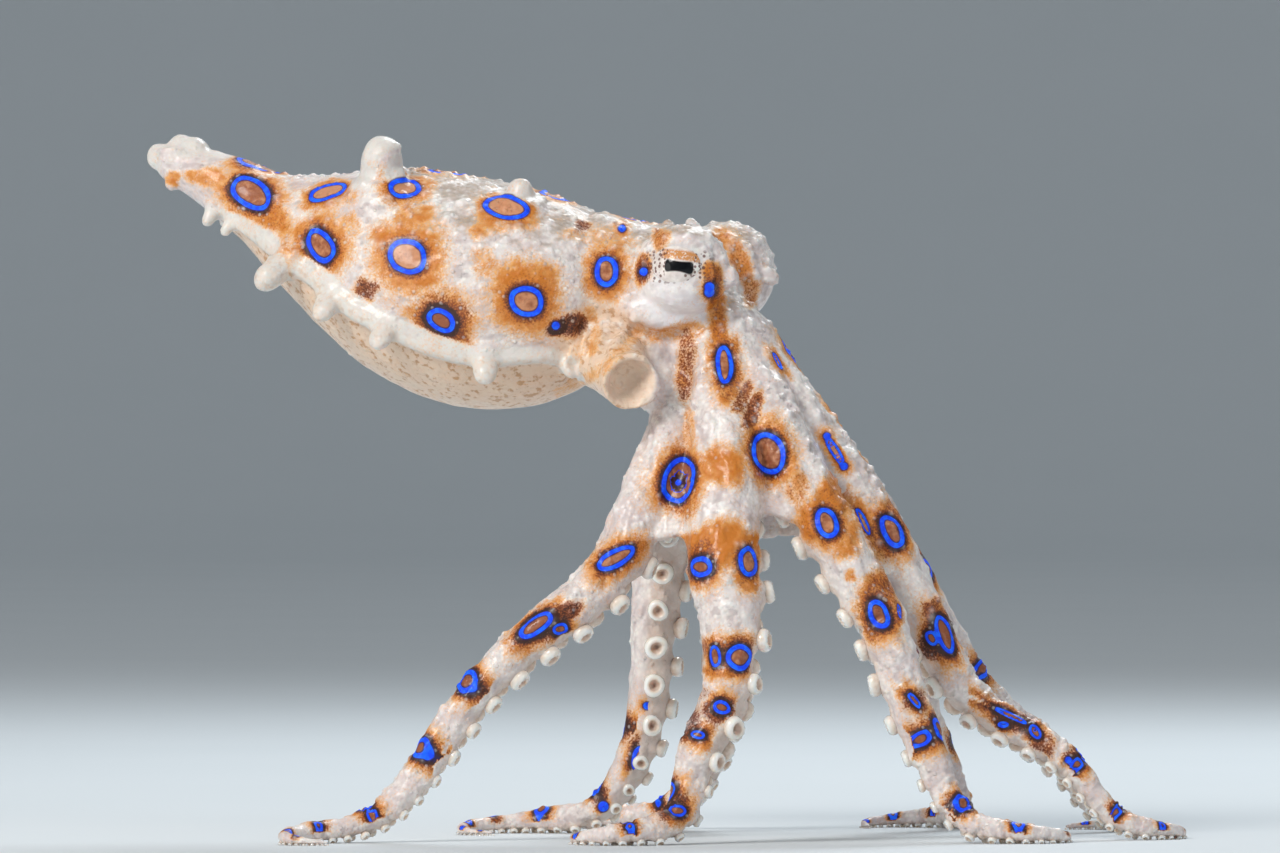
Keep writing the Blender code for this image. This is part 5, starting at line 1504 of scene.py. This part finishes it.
iris = Finish("octopus_eye", Coat_Weight=1.0, Coat_Roughness=0.03, Coat_IOR=1.3, IOR=1.2, Roughness=0.34,
              Subsurface_Weight=0.1, Subsurface_Scale=0.4 * MM)
across, rise = iris.field("across"), iris.field("rise")
beside = abs(across).above(0.95, 1.25) + across.above(0.3, 0.7) * rise.above(-0.3, -0.5)
freckle = iris.cells(EYE_GRAIN, randomness=0.6).above(0.48, 0.30) * beside.above(0.2, 0.8)
freckle = freckle * rise.above(-1.5, -1.2)
orange = rise.above(0.45, 0.65) * rise.above(1.5, 1.2) * abs(across).above(1.8, 1.3)
half_high = PUPIL_HALF[1] + (across / PUPIL_HALF[0]) ** 2.0 * PUPIL_FLARE
pupil = (abs(across) / PUPIL_HALF[0]) ** 9.0 + (rise / half_high) ** 2.0
iris_colour = iris.layers(
    tint(240, 232, 226),
    (iris.noise(0.7, 3.0).above(0.35, 0.65), tint(216, 204, 198)),
    (orange * iris.noise(0.16, 2.0).above(0.25, 0.50), tint(212, 146, 88)),
    (freckle * 0.85, FRECKLE_BROWN),
    (pupil.above(1.5, 1.1) * 0.7, tint(72, 42, 36)),
    (pupil.above(1.12, 0.9), tint(3, 4, 7)),
)
iris.finish(Base_Color=iris_colour, Normal=iris.bump(iris.noise(0.3, 3.0), 0.02))

for side, (centre, look) in EYES.items():
    ahead, level, upright = frame_on(look)
    turn = np.linspace(0, 2 * math.pi, BALL_SIDES, endpoint=False)
    out = np.outer(np.cos(turn), level) + np.outer(np.sin(turn), upright)
    eye = loft("eye_ball_" + side, [
        np.array(centre) + EYE_RADIUS * BALL_FIT * (math.cos(a) * ahead + math.sin(a) * out)
        for a in np.linspace(POLE, math.pi - POLE, BALL_RINGS)])
    eye_surface = Surface(eye)
    apart = eye_surface.points - np.array(centre)
    hand = 1 if side == "right" else -1
    u, v = apart @ level - hand * PUPIL_MIDDLE[0], apart @ upright - PUPIL_MIDDLE[1]
    c, s = math.cos(hand * PUPIL_TILT), math.sin(hand * PUPIL_TILT)
    eye_surface.carry(across=u * c + v * s, rise=v * c - u * s)
    eye.data.shade_smooth()
    eye.data.materials.append(iris.material)
    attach(eye, "root")
    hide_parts("eye_" + side)
print("eyes of", 2 * EYE_RADIUS, "mm")

# %% [markdown]
# Where the arms meet underneath is the mouth: a ring of fleshy lip, finely pleated, round a dark beak like a
# parrot's upside down. A ray from the floor finds the skin there, and both stand on it.

# %% Mouth
UNDER_MOUTH = np.array((11.6, 0.0, 6.0))
LIP_RADIUS, LIP_TUBE = 1.35, 0.5
LIP_DEPTH = 1.3          # of the tube's radius
LIP_PLEATS, PLEAT_DEPTH = 22, 0.14
LIP_SIDES, LIP_RINGS = 132, 20
LIP_SHADE = 0.3
BEAK_LENGTH, LOWER_BEAK = 1.15, 0.82
BEAK_HALF, BEAK_TIP = 0.62, 0.03
BEAK_ROOT = 0.5
BEAK_SIDES, BEAK_RINGS = 24, 12
found = surface_tree.ray_cast(Vector((UNDER_MOUTH + SHIFT) * MM), Vector(UP))[0]
mouth_place = np.array(found) / MM - SHIFT

turn = np.linspace(0, 2 * math.pi, LIP_SIDES, endpoint=False)
lip_rings = []
for a in np.linspace(0, 2 * math.pi, LIP_RINGS, endpoint=False):
    pleat = 1 + PLEAT_DEPTH * np.cos(LIP_PLEATS * turn) * (0.4 + 0.6 * max(math.sin(a), 0.0))
    wide = LIP_RADIUS + LIP_TUBE * math.cos(a) * pleat
    deep = LIP_TUBE * LIP_DEPTH * math.sin(a) * pleat
    lip_rings.append(np.stack((wide * np.cos(turn), wide * np.sin(turn), -deep), axis=1))
lip_bm = bmesh.new()
lip_rows = [[lip_bm.verts.new((mouth_place + p + SHIFT) * MM) for p in row] for row in lip_rings]
cover(lip_bm, lip_rows + lip_rows[:1])
bmesh.ops.recalc_face_normals(lip_bm, faces=lip_bm.faces)
lips = mesh_object("lips", lip_bm)
plain = np.ones(len(lips.data.vertices))
# The lips take a share of the cups' painted shade.
Surface(lips).carry(rim=plain * 0.0, cup=plain * LIP_SHADE)
lips.data.materials.append(cup.material)

chitin = Finish("beak_chitin", Roughness=0.22, Coat_Weight=0.6, Coat_Roughness=0.08)
clouded = chitin.noise(0.4, 3.0).above(0.35, 0.7)
chitin.finish(Base_Color=chitin.mix(clouded, tint(44, 24, 16), tint(92, 52, 30)))
beak_parts = []
for side, length in ((1, BEAK_LENGTH), (-1, BEAK_LENGTH * LOWER_BEAK)):
    rings = []
    for s in np.linspace(0, 1, BEAK_RINGS):
        curve = side * (BEAK_HALF * (1 - s) ** 0.8 + BEAK_TIP)
        size = BEAK_HALF * (1 - s) ** 0.55 + BEAK_TIP
        centre = mouth_place + np.array((curve, 0.0, BEAK_ROOT - length * s))
        rings.append(oval(centre, CROWN_ACROSS, np.array((1.0, 0.0, 0.0)), size, size * 0.45, BEAK_SIDES))
    beak_parts.append(loft("beak_half", rings))
beak = joined("beak", beak_parts)
beak.data.materials.append(chitin.material)
for piece in (lips, beak):
    piece.data.shade_smooth()
    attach(piece, "root")
print("mouth at", mouth_place.round(1))

# %% Sizes, and the end
low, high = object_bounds()
print("packed", [round((b - a) / MM, 1) for a, b in zip(cad_low, cad_high)],
      "finished", [round((b - a) / MM, 1) for a, b in zip(low, high)])
